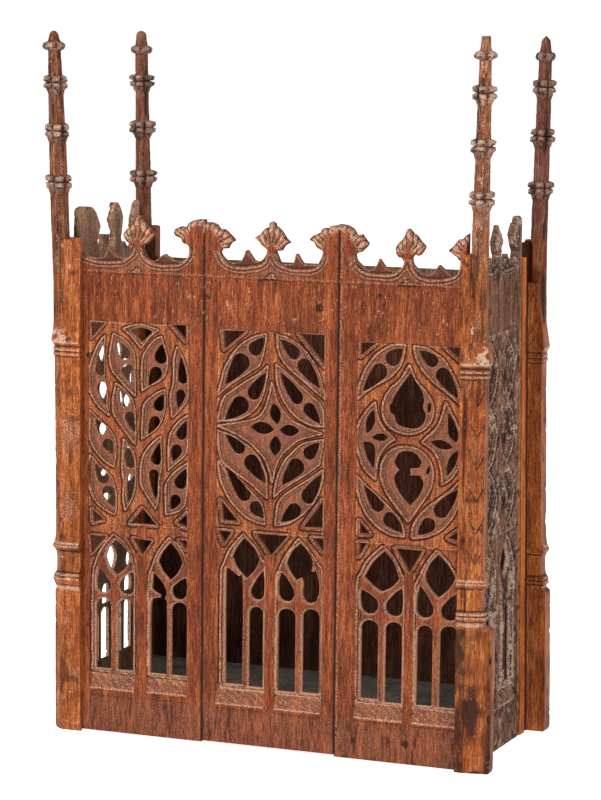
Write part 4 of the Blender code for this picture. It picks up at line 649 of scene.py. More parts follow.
class Face:
    """A panel's front, point by point: depth behind it in mm, and the masks of its colour.

    field is the distance into a sunk field, near the distance from a light, spandrel that into a
    corner light, and edge that into the cresting. inside and outside are the two halves of field.
    """

    def __init__(self, points, plan, crest):
        self.points = points
        self.x, self.z = points[:, 0], points[:, 1]
        self.plan = plan
        self.wobble = np.stack([self.cloud((9, 9), 3), self.cloud((9, 9), 4)], 1) * 0.4
        fields = [smooth_outline(field) for field in plan["fields"]]
        self.field, _ = union_distance(points + self.wobble, fields, 8.0)
        self.near = -union_distance(points, plan["lights"], 5.0)[0]
        self.spandrel, _ = union_distance(points, plan["spandrels"], 6.5)
        self.edge, _ = crest_distance(points, crest, 16.0)
        self.in_crest = (self.edge > -1.0) & (self.z > CREST_FOOT)
        self.inside = np.maximum(self.field, 0.0)
        # A corner light counts as a shallow field 1.6 mm larger than itself.
        self.outside = np.minimum(np.maximum(-self.field, 0.0), np.maximum(-self.spandrel - 1.6, 0.0))
        self.window = np.zeros(len(points), bool)
        for x0, x1, z0, z1 in plan["windows"] + plan["openings"]:
            self.window |= (self.x > x0) & (self.x < x1) & (self.z > z0) & (self.z < z1)
        self.depth = np.zeros(len(points))
        self.recess, self.wear, self.grime, self.tint = np.zeros((4, len(points)))

    def cloud(self, size, seed):
        return noise(self.points, size, seed)

    def masks(self):
        return {"recess": self.recess, "wear": np.clip(self.wear, 0.0, 1.0),
                "grime": np.clip(self.grime, 0.0, 1.0), "tint": self.tint}


def carve_tracery(face):
    """Carves the ribs, the hollows beside them and the rims of the lights.

    Outside the fields the face is a rib: a rounded roll between grooves, with a lower fillet beside
    each field. Inside, a hollow falls steeply and levels out on the web. Each light has a rim.
    """
    field, inside, outside, near, spandrel = face.field, face.inside, face.outside, face.near, face.spandrel
    fillet = face.plan["fillet"]
    window = face.window
    low = face.z < WINDOW_HEAD
    sunk = field > 0.0
    # Beyond the tracery the face is flat, with a soft arris only.
    groove = bump(outside, fillet, 0.5)
    on_fillet = bump(outside, fillet * 0.5, 0.5)
    crown = 1.3 * (1.0 - np.clip((outside - fillet) / 2.6, 0.0, 1.0)) ** 2.0
    rib = 1.05 + 0.5 * (1.0 - ramp(outside, 0.0, 0.7)) - 0.15 * on_fillet
    rib = np.where(outside > fillet, crown, rib) + 1.1 * groove
    flat = 0.7 * (1.0 - ramp(outside, 0.0, 1.2)) + 0.4 * groove
    depth = np.where(window, rib, flat)
    # The hollow chamfer down to the web, with a quirk near its head.
    hollow = 1.9 + 3.3 * dome(inside - 0.2, 4.0) - 0.55 * bump(inside, 2.1, 0.45)
    depth = np.where(sunk, np.maximum(hollow * ramp(inside, -0.4, 0.6), 1.2), depth)
    depth -= 0.7 * bump(near, 1.5, 0.7) * ramp(inside, 0.8, 2.0)
    depth += 0.9 * (1.0 - ramp(near, 0.0, 1.1))
    # The mullions and the branches of the lower windows are rounded.
    bars = sunk * (face.z > WINDOW_FOOT) * low * ramp(near, 0.2, 1.0)
    depth -= bars * 2.4 * np.sqrt(np.clip(near / 4.2, 0.0, 1.0)) * ramp(inside, 1.5, 3.5)
    fall = np.clip((spandrel + 1.6) / 1.6, 0.0, 1.0)
    face.depth = np.where(~sunk & (spandrel > -1.6), 1.3 + 1.5 * fall, depth)
    face.recess = np.clip(face.depth / 4.0, 0.0, 1.0) * ((field > 0.3) | (spandrel > -1.4))
    face.recess *= 1.0 - 0.75 * bars * ramp(near, 1.4, 3.0)
    # Pale rims along the fields, the fillets, the lights and the corner lights: partly worn wood, partly a
    # painted highlight where the ribs catch the light.
    face.wear = window * (0.75 * bump(field, 0.0, 0.5) + 0.6 * on_fillet * (outside > 0.0))
    face.wear += window * 0.15 * ramp(outside, fillet + 1.0, fillet + 2.2) * (1.0 - ramp(outside, 4.5, 5.5))
    face.wear += (0.6 + 0.3 * low) * bump(near, 0.5, 0.6 + 0.2 * low) + 0.35 * bump(inside, 2.1, 0.5) * sunk
    face.wear += 0.5 * bump(spandrel, -0.6, 0.6)
    # Painted shade: the dark mask darkens the grooves beside the ribs and the hollows of the fields.
    face.grime = 1.25 * bump(outside, fillet + 0.1, 0.7) * window
    face.grime += sunk * (bump(inside, 1.15, 0.55) + 0.7 * bump(inside, 3.2, 0.7) * (near > 2.4))
    # The crowns of the rolls take lighter, more orange tones: a painted highlight.
    face.tint = window * 0.6 * ramp(outside, fillet + 0.8, fillet + 1.8) * (1.0 - ramp(outside, 5.0, 6.0))


def score_window_lines(face):
    """Scores a line round each window."""
    clear = (face.field < -0.5) & (face.spandrel < -0.5)
    for x0, x1, z0, z1 in face.plan["windows"]:
        gap = np.max([x0 - face.x, face.x - x1, z0 - face.z, face.z - z1], 0)
        line = bump(gap, 0.0, 0.6) * clear
        face.depth += 0.4 * line
        # The scored line is darkened with painted shade, and a painted highlight runs just inside it.
        face.grime += 0.6 * line
        face.wear += 0.4 * bump(gap, -1.2, 0.5) * clear


def carve_sills(face):
    """Slopes a sill below each pair of lancets, with slanting chisel marks and a line scored under it."""
    x, z = face.x, face.z
    for x0, x1, lip, line_below in face.plan["sills"]:
        across = ramp(x, x0 - 0.6, x0 + 0.6) * (1.0 - ramp(x, x1 - 0.6, x1 + 0.6))
        slope = np.clip((z - lip) / (SILL_TOP - lip), 0.0, 1.0) * 4.5 * (z < SILL_TOP + 1.0)
        chisel = 0.4 * np.sin((x * 0.55 + z * 0.8 + 2.0 * face.cloud((9, 9), 5)) * 1.1) * (slope > 0.3)
        on_sill = across * (z > lip - 0.5) * (z < SILL_TOP)
        line = bump(z, line_below - 1.5, 0.6) * across
        face.depth = np.maximum(face.depth, across * (slope + chisel * 1.3)) + 0.5 * line
        # A painted highlight runs just under each sill's lip, and painted shade darkens the line scored
        # below.
        face.wear += across * (0.2 * (chisel < -0.22) * (z < SILL_TOP) + 0.8 * bump(z, lip - 1.0, 1.0))
        face.wear += 0.12 * on_sill * across
        face.grime += 0.6 * line
        face.recess = np.maximum(face.recess, 0.65 * on_sill)


def carve_cresting(face):
    """Carves the mouldings of the cresting, a sunk bay with two rolls round it, and the leaves above them.

    The leaves are flutes that fan out from each stem to a scalloped edge.
    """
    x, z, edge = face.x, face.z, face.edge
    bays = each(bay_outline, face.plan["bays"])
    bay, _ = union_distance(face.points + face.wobble * 2.0, bays, 9.0)
    beyond = np.maximum(-bay, 0.0)
    below = face.in_crest & (z < LEAF_FOOT)
    sunk = 1.5 + 1.1 * dome(bay, 4.0) - 1.3 * bump(edge, 0.6, 0.8)
    roll = np.clip(np.abs(beyond - 2.0) / 2.0, 0.0, 1.0) ** 2.0
    roll = np.where(beyond > 4.0, 0.9 * (1.0 - ramp(beyond, 4.0, 5.6)), roll)
    roll = np.where(beyond > 5.6, 0.45 * bump(beyond, 7.4, 0.6), roll)
    fade = 1.0 - ramp(z, 513.0, 518.5)
    moulding = np.where(bay > 0.0, sunk, roll * fade + 0.5 * (1.0 - ramp(edge, 0.0, 1.4)))
    face.depth = np.where(below & (beyond < 8.9), moulding, face.depth)
    # Painted highlights on the crowns of the two rolls and along the cresting's cut edge.
    wear = (0.5 * bump(beyond, 1.7, 0.8) * (bay <= 0.0) + 0.45 * bump(beyond, 5.4, 0.6)) * fade
    wear += 0.6 * bump(edge, 0.5, 0.6) * (beyond < 8.0)
    face.wear = np.where(below, wear, face.wear)
    # Painted shade in the grooves beside the rolls and down in the sunk bay.
    grime = 1.1 * bump(beyond, 3.9, 0.7) + 0.8 * bump(beyond, 7.2, 0.6) + 0.6 * bump(beyond, 0.3, 0.5)
    grime *= fade
    grime += 0.18 * ramp(bay, 0.3, 2.0) * (1.0 - bump(edge, 0.4, 1.0)) + 0.5 * bump(bay, 1.2, 0.6)
    face.grime = np.where(below, grime, face.grime)

    for stem in face.plan["stems"]:
        up = z - STEM_FOOT
        triangle_in = np.min([up, (8.5 - up) * 0.75, (10.0 - np.abs(x - stem) - up * 0.95) * 0.7], 0)
        triangle_in = np.clip(triangle_in, 0.0, 3.0)
        face.depth = np.maximum(face.depth, 1.4 * ramp(triangle_in, 0.0, 1.2))
        # Painted shade along the edges of the sunk triangle.
        face.grime += 0.9 * bump(triangle_in, 0.8, 0.7) * (triangle_in > 0.0)
        face.wear += 0.2 * ramp(triangle_in, 1.2, 2.2)

    foliage = face.in_crest & ~below
    veins = np.zeros(len(x))
    blade = np.zeros(len(x))
    for leaf_x, leaf_z, kind in face.plan["leaves"]:
        dx, dz = np.abs(x - leaf_x), z - leaf_z
        radius = np.hypot(dx, dz)
        angle = np.arctan2(x - leaf_x, np.maximum(dz, -4.0) + 7.0) + 0.07 * face.cloud((6, 6), 31)
        fan, half_width = (11.5, 22.0) if kind > 0 else (17.0, 31.0)
        reach = (radius < 31.0) & (dx < half_width)
        grooves = np.abs(np.cos(angle * fan + 0.5 * np.sin(radius * 0.35)))
        if kind > 0:
            body = ramp(radius, 2.0, 6.0) * ramp(z, 522.0, 526.0)
        else:
            body = np.maximum(ramp(dx, 13.0, 17.0) * ramp(z, 520.0, 524.0), 1.0 - ramp(edge, 6.0, 9.0))
            body *= ramp(dx + np.maximum(dz, 0.0), 17.0, 21.0)
        veins = np.where(reach, np.maximum(veins, (1.0 - grooves) ** 1.3 * body), veins)
        blade = np.where(reach, np.maximum(blade, body), blade)
    leafy = blade * (2.4 * (1.0 - ramp(edge, 0.0, 4.5)) ** 1.4 + 2.0 * veins - 0.3 * bump(edge, 5.5, 1.6))
    face.depth = np.where(foliage, np.maximum(leafy, 0.6 * (1.0 - ramp(edge, 0.0, 1.2))), face.depth)
    # Painted highlights on the ridges between the flutes, painted shade in the flutes and along the leaves'
    # edge.
    face.wear = np.where(foliage, blade * (0.7 * (1.0 - veins) * bump(edge, 3.6, 2.4) + 0.2), face.wear)
    face.grime = np.where(foliage, blade * (0.95 * veins + 0.35 * (1.0 - ramp(edge, 0.0, 2.0))), face.grime)
    greyed = ramp(z, 489.0, 500.0) * (1.0 - ramp(beyond, 7.0, 9.0))
    greyed = 0.95 * np.where(foliage, 0.15 + 0.85 * blade, greyed)
    face.recess = np.where(face.in_crest, greyed, face.recess)

    if face.plan["stems"]:
        # The spandrel between two bays is sunk down to a straight fillet that runs below them.
        from_stem = np.min([np.abs(x - stem) for stem in face.plan["stems"]], 0)
        spandrels = ramp(z, 494.2, 495.4) * (1.0 - ramp(z, 508.0, 512.0))
        spandrels *= (beyond > 7.8) * (from_stem < 22.0)
        level = z + 0.5 * face.cloud((12, 3), 47)
        under = STEM_FOOT + 1.6
        face.depth += 0.9 * spandrels * (1.0 - ramp(from_stem, 16.0, 22.0))
        face.depth += 0.7 * (1.0 - ramp(level, STEM_FOOT, under)) * ramp(level, 486.0, STEM_FOOT)
        face.depth -= 0.3 * bump(level, CREST_FILLET, 1.0)
        face.recess = np.maximum(face.recess, 0.7 * spandrels)
        pale = 0.3 * spandrels * ramp(face.cloud((1.3, 1.3), 45), 0.2, 0.7)
        # A painted highlight along the fillet and painted shade in the sunk band below it; the specks are
        # the wood's own.
        face.wear += (0.3 * bump(level, CREST_FILLET, 1.2) + pale) * (z < LEAF_FOOT)
        face.grime += 0.45 * bump(level, STEM_FOOT, 0.9)
        face.grime += 0.4 * spandrels * ramp(face.cloud((1.5, 1.5), 46), 0.2, 0.7)


def batter(face):
    """Leaves tool marks, bruises, scratches, stains and chips on the plain faces, and darkens the rail."""
    x, z, cloud = face.x, face.z, face.cloud
    face.depth += 0.12 * cloud((4, 36), 11) + 0.09 * cloud((1.9, 14), 12) + 0.10 * cloud((2.6, 2.6), 13)
    bruised = ramp(cloud((6, 8), 41) + 0.6 * cloud((2.2, 2.6), 42), 0.72, 1.1) * ~face.window
    bruised *= (z > FRIEZE_FOOT) * (z < 490.0)
    face.depth += 0.7 * bruised
    face.grime += 0.6 * bruised * ramp(cloud((1.5, 2.0), 49), -0.3, 0.5)
    face.wear += 0.5 * bump(bruised, 0.45, 0.3)
    face.wear += 0.5 * ramp(cloud((1.8, 3.5), 43), 0.78, 0.95) * (z > FRIEZE_FOOT) * (z < 492.0)
    face.grime += 0.45 * ramp(cloud((2.4, 40), 44), 0.2, 0.8) * (z > 440.0) * (z < 498.0)
    for stain_x, stain_z, size in face.plan["stains"]:
        away = np.hypot(x - stain_x, z - stain_z)
        face.depth += 0.8 * (1.0 - ramp(away, size * 0.5, size * 1.1))
        face.grime += 1.3 * (1.0 - ramp(away, size * 0.8, size * 1.8))
    for chip_x, chip_z, wide, tall in face.plan["chips"]:
        away = np.hypot((x - chip_x) / wide, (z - chip_z) / tall) + 0.5 * cloud((2.2, 2.2), 51)
        face.depth += 0.6 * (1.0 - ramp(away, 0.5, 1.1))
        face.wear += 0.65 * (1.0 - ramp(away, 0.4, 0.8))
    rail = 1.0 - ramp(z, RAIL_TOP - 14.0, RAIL_TOP)
    face.recess = np.maximum(face.recess, 0.45 * rail)
    face.grime += 0.65 * rail * ramp(cloud((1.6, 12), 48), -0.4, 0.8)


def weather(face):
    """Gives a side panel its crust: lumps, pale flecks, dark pits, fresher patches, a grooved edge."""
    x, z, cloud = face.x, face.z, face.cloud
    crust = face.plan["crust"] * (1.0 - 0.6 * ramp(z, FRIEZE_FOOT, FRIEZE_FOOT + 3.0) * (z < 494.0))
    face.depth += crust * (0.32 * (cloud((5, 7), 61) + 0.7 * cloud((2.4, 3), 62)) + 0.2)
    pale = ramp(cloud((2.0, 3.2), 63) + 0.5 * cloud((6, 9), 65), 0.25, 0.9)
    face.wear = face.wear * (1.0 - 0.1 * crust) + 0.6 * crust * pale
    face.grime = face.grime * 1.1 + 1.2 * crust * ramp(cloud((3.0, 7), 64), 0.2, 0.6)
    # Painted shade deep in the sunk fields, away from the lights.
    face.grime += 0.8 * crust * ramp(face.inside, 3.0, 4.5) * (face.near > 1.6)
    face.tint = face.plan["patches"] * ramp(cloud((14, 40), 66) + 0.4 * cloud((3, 8), 67), -0.3, 0.7)
    strip = crust * ramp(x, 137.0, 138.5)
    face.recess = np.maximum(face.recess * 0.6, strip)
    face.depth += strip * (0.5 + 0.5 * np.cos(x * 2.1)) * (z < 500.0)


def carved_face(points, plan, crest):
    """The depth of a panel's carved front behind its plane, in mm, and the masks of its colour."""
    face = Face(points, plan, crest)
    steps = [carve_tracery, score_window_lines, carve_sills, carve_cresting, batter]
    for step in steps + ([weather] if plan["crust"] else []):
        step(face)
    return np.clip(face.depth, -0.05, DEEPEST), face.masks()


def panel_grid(plan, left, end, fine, coarse):
    """Columns and rows of a panel's grid: fine over tracery and cresting, coarse over plain wood."""
    across = [x for field in plan["fields"] for x, _ in field]
    x_low = min(across) - 4.0
    x_high = min(end, max(across) + 4.0)
    columns = [(left, x_low, False), (x_low, x_high, True), (x_high, end, False)]
    if x_high >= end - 1.0:
        columns = [(left, x_low, False), (x_low, end, True)]
    crest_start = CREST_FOOT + 2.0
    top = max(z for _, z in plan["crest"]) + 2.0
    rows = [(plan["base"], GRID_FOOT, False), (GRID_FOOT, TRACERY_TOP, True),
            (TRACERY_TOP, crest_start, False), (crest_start, top, True)]
    return grid_lines(columns, fine, coarse), grid_lines(rows, fine, coarse)


def pierced_grid(columns, rows, voids, crest, fine):
    """Points and quads of the grid without its cells over a light or beyond the cresting.

    Points that kept and dropped cells share are the rim: each moves to the nearest point of an outline.
    The third value tells which points lie on every other row and column.
    """
    nx, nz = len(columns), len(rows)
    points = np.stack([np.tile(columns, nz), rows.repeat(nx)], 1)
    middles = np.stack([np.tile((columns[:-1] + columns[1:]) / 2.0, nz - 1),
                        ((rows[:-1] + rows[1:]) / 2.0).repeat(nx - 1)], 1)
    ids = np.arange(nx * nz).reshape(nz, nx)
    cells = np.stack([ids[:-1, :-1], ids[:-1, 1:], ids[1:, 1:], ids[1:, :-1]], 2).reshape(-1, 4)
    in_light, _ = union_distance(middles, voids, 3.0)
    in_panel, _ = crest_distance(middles, crest, 3.0)
    quads = cells[(in_light <= 0.0) & (in_panel > 0.0)]
    cells_at = np.bincount(cells.ravel(), minlength=nx * nz)
    quads_at = np.bincount(quads.ravel(), minlength=nx * nz)
    rim = np.flatnonzero((quads_at > 0) & (quads_at < cells_at))
    at = points[rim]
    to_light, light_foot = union_distance(at, voids, 3.0)
    to_crest, crest_foot = crest_distance(at, crest, 3.0)
    nearer_light = np.abs(to_light) < np.abs(to_crest)
    step = np.where(nearer_light[:, None], light_foot, crest_foot) - at
    step *= np.minimum(1.0, 1.5 * fine / np.maximum(np.hypot(*step.T), 1e-9))[:, None]
    on_side = (np.abs(at[:, 0] - columns[0]) < 1e-6) | (np.abs(at[:, 0] - columns[-1]) < 1e-6)
    step[on_side, 0] = 0.0
    points[rim] = at + step
    alive = np.unique(quads)
    every_other = (alive // nx % 2 == 0) & (alive % nx % 2 == 0)
    return points[alive], np.searchsorted(alive, quads), every_other


def carved_panel(name, plan, width, right_edge, place, material, sizes, coarser=1.0):
    """One pierced panel: a grid over its plan, pushed back by the depth of the carving.

    A wall joins the rim of the front to the inner face, which is triangulated between the same rims.
    The inner face of the cresting is carved too, at three quarters of the depth and more coarsely:
    every other point of the front is repeated there. It carries a fainter copy of the masks.
    """
    fine = sizes.grid_fine * coarser
    left = plan["left"]
    scale = width / DRAWING_WIDTH
    end = left + right_edge / scale
    columns, rows = panel_grid(plan, left, end, fine, sizes.grid_coarse)
    first_z, last_z = plan["crest"][0][1], plan["crest"][-1][1]
    start, beyond = left - 3.0, max(end, plan["crest"][-1][0]) + 3.0
    crest = smooth_outline([(start, CREST_SKIRT), (start, first_z)] + plan["crest"]
                           + [(beyond, last_z), (beyond, CREST_SKIRT)], step=1.2, corner=0.75)
    voids = plan["lights"] + plan["spandrels"]
    front, quads, every_other = pierced_grid(columns, rows, voids, crest, fine)
    count = len(front)
    depth, masks = carved_face(front, plan, crest)
    # The joints: softened edges with dirt in them, and beside each a pale strip on the next panel's left
    # edge, a painted highlight.
    x, z = front[:, 0], front[:, 1]
    joint = np.minimum(x - left, end - x) * scale
    depth += 0.9 * (1.0 - ramp(joint, 0.0, 1.0))
    masks["grime"] = np.maximum(masks["grime"], 1.0 - ramp(joint, 0.7, 1.3))
    masks["wear"] = np.maximum(masks["wear"], 0.55 * bump(x - left, 2.1, 0.6))

    # An edge whose opposite is missing lies on the rim. Rim points are merged where they coincide.
    edges = np.concatenate([quads[:, [k, (k + 1) % 4]] for k in range(4)])
    border = edges[~np.isin(edges @ [count, 1], edges @ [1, count])]
    rim = np.unique(border)
    back, merged = np.unique(np.round(front[rim], 4), axis=0, return_inverse=True)
    rim_index = np.full(count, -1)
    rim_index[rim] = merged.ravel()
    rim_edges = np.unique(np.sort(rim_index[border], 1), axis=0)
    rim_edges = rim_edges[rim_edges[:, 0] != rim_edges[:, 1]]
    to_crest, _ = crest_distance(front, crest, 3.0)
    inner = every_other & (z > BACK_CARVED) & (to_crest > 1.3) & (x > left + 1.5) & (x < end - 1.5)
    inner[rim] = False
    flat = np.concatenate([back, front[inner]])
    filled = mathutils.geometry.delaunay_2d_cdt([mathutils.Vector(point) for point in flat.tolist()],
                                                rim_edges.tolist(), [], 0, 1e-7)
    behind = np.array([tuple(point) for point in filled[0]])
    faces = np.array([face for face in filled[2] if len(face) == 3], int)
    middles = behind[faces].mean(1)
    mid_light, _ = union_distance(middles, voids, 2.0)
    mid_crest, _ = crest_distance(middles, crest, 2.0)
    faces = faces[(mid_light < 0.02) & (mid_crest > -0.02)]
    area = np.cross(behind[faces[:, 1]] - behind[faces[:, 0]], behind[faces[:, 2]] - behind[faces[:, 0]])
    faces = np.where((area > 0.0)[:, None], faces[:, ::-1], faces)

    def at_back(values, rest):
        """Values for the inner face: rest, or the carved cresting's where they are higher."""
        padded = np.full(len(behind), rest)
        padded[:len(flat)] = np.maximum(np.concatenate([np.zeros(len(back)), values[inner]]), rest)
        return padded

    relief = at_back(0.75 * np.clip(depth, 0.0, 2.6), 0.0)
    points = np.concatenate([np.stack([(x - left) * scale, depth, z], 1),
                             np.stack([(behind[:, 0] - left) * scale, sizes.panel_thickness - relief,
                                       behind[:, 1]], 1)])
    a, b = border.T
    behind_a, behind_b = rim_index[border].T + count
    triangles = np.concatenate([quads[:, [0, 1, 2]], quads[:, [0, 2, 3]], np.stack([b, a, behind_a], 1),
                                np.stack([b, behind_a, behind_b], 1), faces + count])
    fade = {"wear": 1.0, "grime": 0.4, "recess": 0.3, "tint": 1.0}
    masks = {key: np.concatenate([values, at_back(fade[key] * values, plan["inside"].get(key, 0.0))])
             for key, values in masks.items()}
    piece = new_piece(name, to_world(place(points)), triangles, material, masks)
    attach(piece, "root")
    return piece


def turned(x0, y0, quarter):
    """Puts panel coordinates in place: quarter turns about Z, then a shift."""
    cos_turn, sin_turn = [(1, 0), (0, 1), (-1, 0), (0, -1)][quarter % 4]

    def place(points):
        x, y = points[:, 0], points[:, 1]
        across = x0 + x * cos_turn - y * sin_turn
        return np.stack([across, y0 + x * sin_turn + y * cos_turn, points[:, 2]], 1)
    return place


# The posts and pinnacles.

# Rows of a post's surface, as (from, to, steps), and how many steps each of its eleven sides is cut into.
POST_ROWS = [(0, 8, 5), (8, 140, 55), (140, 212, 75), (212, 392, 111), (392, 442, 55), (442, 482, 19),
             (482, STILE_TOP, 19)]
POST_SIDES = [3, 12, 18, 9, 5, 4, 3, 3, 2, 3, 3]
# Heights and how far the faces stand out, in mm: the base, the two bands and the collar with its bulge.
BASE_LEVELS = [(0, -2.0), (1.5, -0.8), (4, 0.0), (147, 0.0), (149, -0.3), (153.5, 0.6)]
BAND_LEVELS = [(156.5, 2.4), (159, 3.2), (161, 3.0), (162.2, 2.0), (163.2, 2.5), (164.6, 1.9), (166.5, 0.2),
               (170, -0.7), (180, -0.9), (187, -0.6), (190.5, 0.9), (192.3, 2.7), (193.6, 3.3), (195.4, 3.1),
               (197.6, 2.0), (200.5, 1.0), (205, 0.5), (210, 0.0)]
COLLAR_LEVELS = [(396, 0.0), (397.6, 0.2), (398.6, 1.3), (400, 1.7), (401.4, 1.2), (402.4, 0.6),
                 (403.4, 1.2), (404.8, 1.7), (406.4, 1.1), (408.0, 0.2), (410.0, 1.4), (412, 3.0),
                 (415, 3.4), (420, 2.8), (435, 0.8), (482, -4.5)]
FIXED_LEVELS = (0, 1.5, 4, 482)        # foot and head, which a post's raises don't lift
BASE_TOP = 149.0
STILE_NECK = 440.0                     # above this the stile is plain and the shaft thins out
STILE_HEAD = 482.0                     # above this only the stile goes on
SCALE_FOOT = 215.4                     # tip of the lowest pointed scale
SCALE_PITCH = 32.24
SPIRE_SIDES = 64
SPIRE_FOOT = 425.0
TIP_FOOT = 708.0
SPIRE_TOP = 741.0
EIGHTH = math.pi / 8.0

# The posts, in mm and degrees. base and shaft are how far the outer side stands beyond HALF_WIDTH below
# and above the base's top, taper how that grows upwards, and raises what lifts base, bands and collar.
# collars are the heights of the pinnacle's leaves, spacing half the step between their two tiers, reach
# their radius, and shaft_radii and tip rows of (height, radius). turn, lean and outwards place the
# pinnacle. scales is how strongly the facet is carved, chip the heights of a break and chip_from where
# it starts across, foot how much darker the base and the stile's front are, and dusk and bleach darken
# and pale the pinnacle.
POST_STYLES = {
    "front_left": {
        "stile": STILE_EDGE_LEFT, "shaft": 9.6, "taper": 3.0, "base": 9.6, "raises": (3.0, 4.5, 4.0),
        "collars": (584.1, 637.4, 687.7), "spacing": (3.6, 3.6, 3.3), "reach": (14.6, 13.7, 13.6),
        "knop": (725.2, 12.8), "turn": 0.0, "lean": -2.15, "outwards": 0.0, "scales": 0.4, "dusk": 0.5,
        "bleach": 0.2, "chip": (416.0, 433.0), "chip_from": 1.7, "foot": 0.0,
        "shaft_radii": [(425, 8.0), (436, 9.6), (550, 10.0), (600, 9.7), (660, 8.6), (700, 7.6), (720, 6.8),
                        (741, 6.6)],
        "tip": [(726, 9.0), (729.3, 7.9), (730.3, 6.8), (732.4, 5.8), (736.6, 4.8), (738.7, 3.8),
                (740.4, 2.4), (741, 1.2)]},
    "front_right": {
        "stile": STILE_EDGE_RIGHT, "shaft": 14.6, "taper": -1.2, "base": 25.5, "raises": (1.5, 0.0, 4.0),
        "collars": (581.2, 633.2, 685.4), "spacing": (3.7, 3.5, 3.7), "reach": (13.7, 13.3, 13.2),
        "knop": (722.2, 12.2), "turn": EIGHTH, "lean": 0.56, "outwards": 0.7, "scales": 1.0, "dusk": 0.1,
        "bleach": 0.5, "chip": (414.0, 456.0), "chip_from": 1.95, "foot": 0.5,
        "shaft_radii": [(425, 7.6), (436, 9.4), (545, 8.8), (600, 8.0), (660, 7.2), (700, 6.4), (720, 6.1),
                        (741, 5.8)],
        "tip": [(724, 8.0), (725.5, 6.9), (727, 6.0), (729.5, 5.4), (734, 5.0), (740.2, 4.6), (741, 3.4)]},
    "back_left": {
        "stile": HALF_WIDTH - 11.4, "shaft": 9.6, "taper": 3.0, "base": 9.6, "raises": (0.0, 0.0, 0.0),
        "collars": (581.0, 635.3, 686.3), "spacing": (3.2, 3.2, 3.5), "reach": (15.4, 14.8, 14.2),
        "knop": (720.4, 12.6), "turn": EIGHTH, "lean": -1.07, "outwards": 0.0, "scales": 0.0, "dusk": 0.75,
        "bleach": 0.1, "chip": (0.0, 0.0), "chip_from": 3.0, "foot": 0.3,
        "shaft_radii": [(425, 7.6), (436, 9.4), (550, 8.6), (600, 8.2), (660, 7.4), (700, 7.1), (741, 7.0)],
        "tip": [(723, 9.0), (724.6, 7.7), (726, 6.7), (731, 6.1), (736, 5.7), (738.5, 4.9), (740, 3.4),
                (741, 1.4)]},
    "back_right": {
        "stile": STILE_EDGE_RIGHT, "shaft": 14.6, "taper": -1.2, "base": 19.5, "raises": (5.0, 2.0, 0.0),
        "collars": (581.7, 636.8, 687.9), "spacing": (3.4, 3.6, 3.3), "reach": (14.6, 13.6, 13.4),
        "knop": (719.5, 10.9), "turn": EIGHTH, "lean": 0.9, "outwards": 2.4, "scales": 0.0, "dusk": 0.9,
        "bleach": 0.0, "chip": (0.0, 0.0), "chip_from": 3.0, "foot": 0.3,
        "shaft_radii": [(425, 7.6), (436, 9.3), (550, 8.8), (600, 8.3), (660, 7.8), (700, 7.1), (741, 6.8)],
        "tip": [(722, 8.0), (723.4, 7.2), (724.8, 6.2), (727, 5.7), (731, 5.3), (735.5, 4.7), (737.5, 3.7),
                (739, 2.2), (741, 0.3)]},
}


def closed_skin(rings):
    """Points and outward triangles over a stack of rings, an array (rows, columns, 3), with flat ends."""
    rows, columns, _ = rings.shape
    ids = np.arange(rows * columns).reshape(rows, columns)
    right = np.roll(ids, -1, 1)
    a, b, c, d = ids[:-1].ravel(), right[:-1].ravel(), right[1:].ravel(), ids[1:].ravel()
    low, high = np.repeat([[ids.size], [ids.size + 1]], columns, 1)
    points = np.concatenate([rings.reshape(-1, 3), rings[[0, -1]].mean(1)])
    triangles = np.concatenate([np.stack(corners, 1) for corners in (
        (a, b, c), (a, c, d), (right[0], ids[0], low), (ids[-1], right[-1], high))])
    first, second, third = points[triangles.T]
    volume = (first * np.cross(second, third)).sum()
    return points, triangles if volume > 0.0 else triangles[:, ::-1]


def post_profile(z, raises):
    """How far the post's faces stand out at a height, in mm. Each post has its own raises."""
    heights = []
    proud = []
    for levels, lift in zip((BASE_LEVELS, BAND_LEVELS, COLLAR_LEVELS), raises):
        heights += [height + (0.0 if height in FIXED_LEVELS else lift) for height, _ in levels]
        proud += [value for _, value in levels]
    return np.interp(z, heights, proud)


def post_rings(z, side, rear, style):
    """The eleven corners of a post in plan at each height, with each side cut into its own steps."""
    facet = HALF_WIDTH - 0.1
    wall = HALF_WIDTH - PANEL_THICKNESS
    groove = PANEL_THICKNESS + GAP
    rebate = (-LEFT_EDGE if side < 0 else RIGHT_EDGE) + GAP
    leg = HALF_WIDTH - (4.0 if rear else 0.1)
    proud = post_profile(z, style["raises"])
    blend = np.clip((z - BASE_TOP - style["raises"][0] + 2.0) / 4.0, 0.0, 1.0)
    shaft = HALF_WIDTH + style["shaft"] + style["taper"] * (np.minimum(1.0, z / 414.5) - 0.75)
    outer = (HALF_WIDTH + style["base"]) * (1.0 - blend) + shaft * blend + proud - (z > STILE_NECK)
    outer = np.where(z > STILE_HEAD, facet + (3.0 if rear else 0.6), outer)
    lap = np.where(z > STILE_HEAD, 3.0, (18.6 if rear else 11.0) + 0.6 * proud)
    front = -STILE_PROUD - np.clip(proud, -1.8, 3.6) * (z < STILE_NECK)
    corners = [(style["stile"], -GAP), (style["stile"], front), (facet, front),
               (outer, -0.4 * proud * (z < STILE_NECK)), (outer, lap), (facet, lap), (leg, POST_LEG),
               (wall, POST_LEG), (wall, groove), (rebate, groove), (rebate, -GAP)]
    corners = [np.stack(np.broadcast_arrays(x, y, z)[:2], 1)[:, None] for x, y in corners]
    return np.concatenate([start + (end - start) * (np.arange(count) / count)[:, None]
                           for start, end, count in zip(corners, corners[1:] + corners[:1], POST_SIDES)], 1)


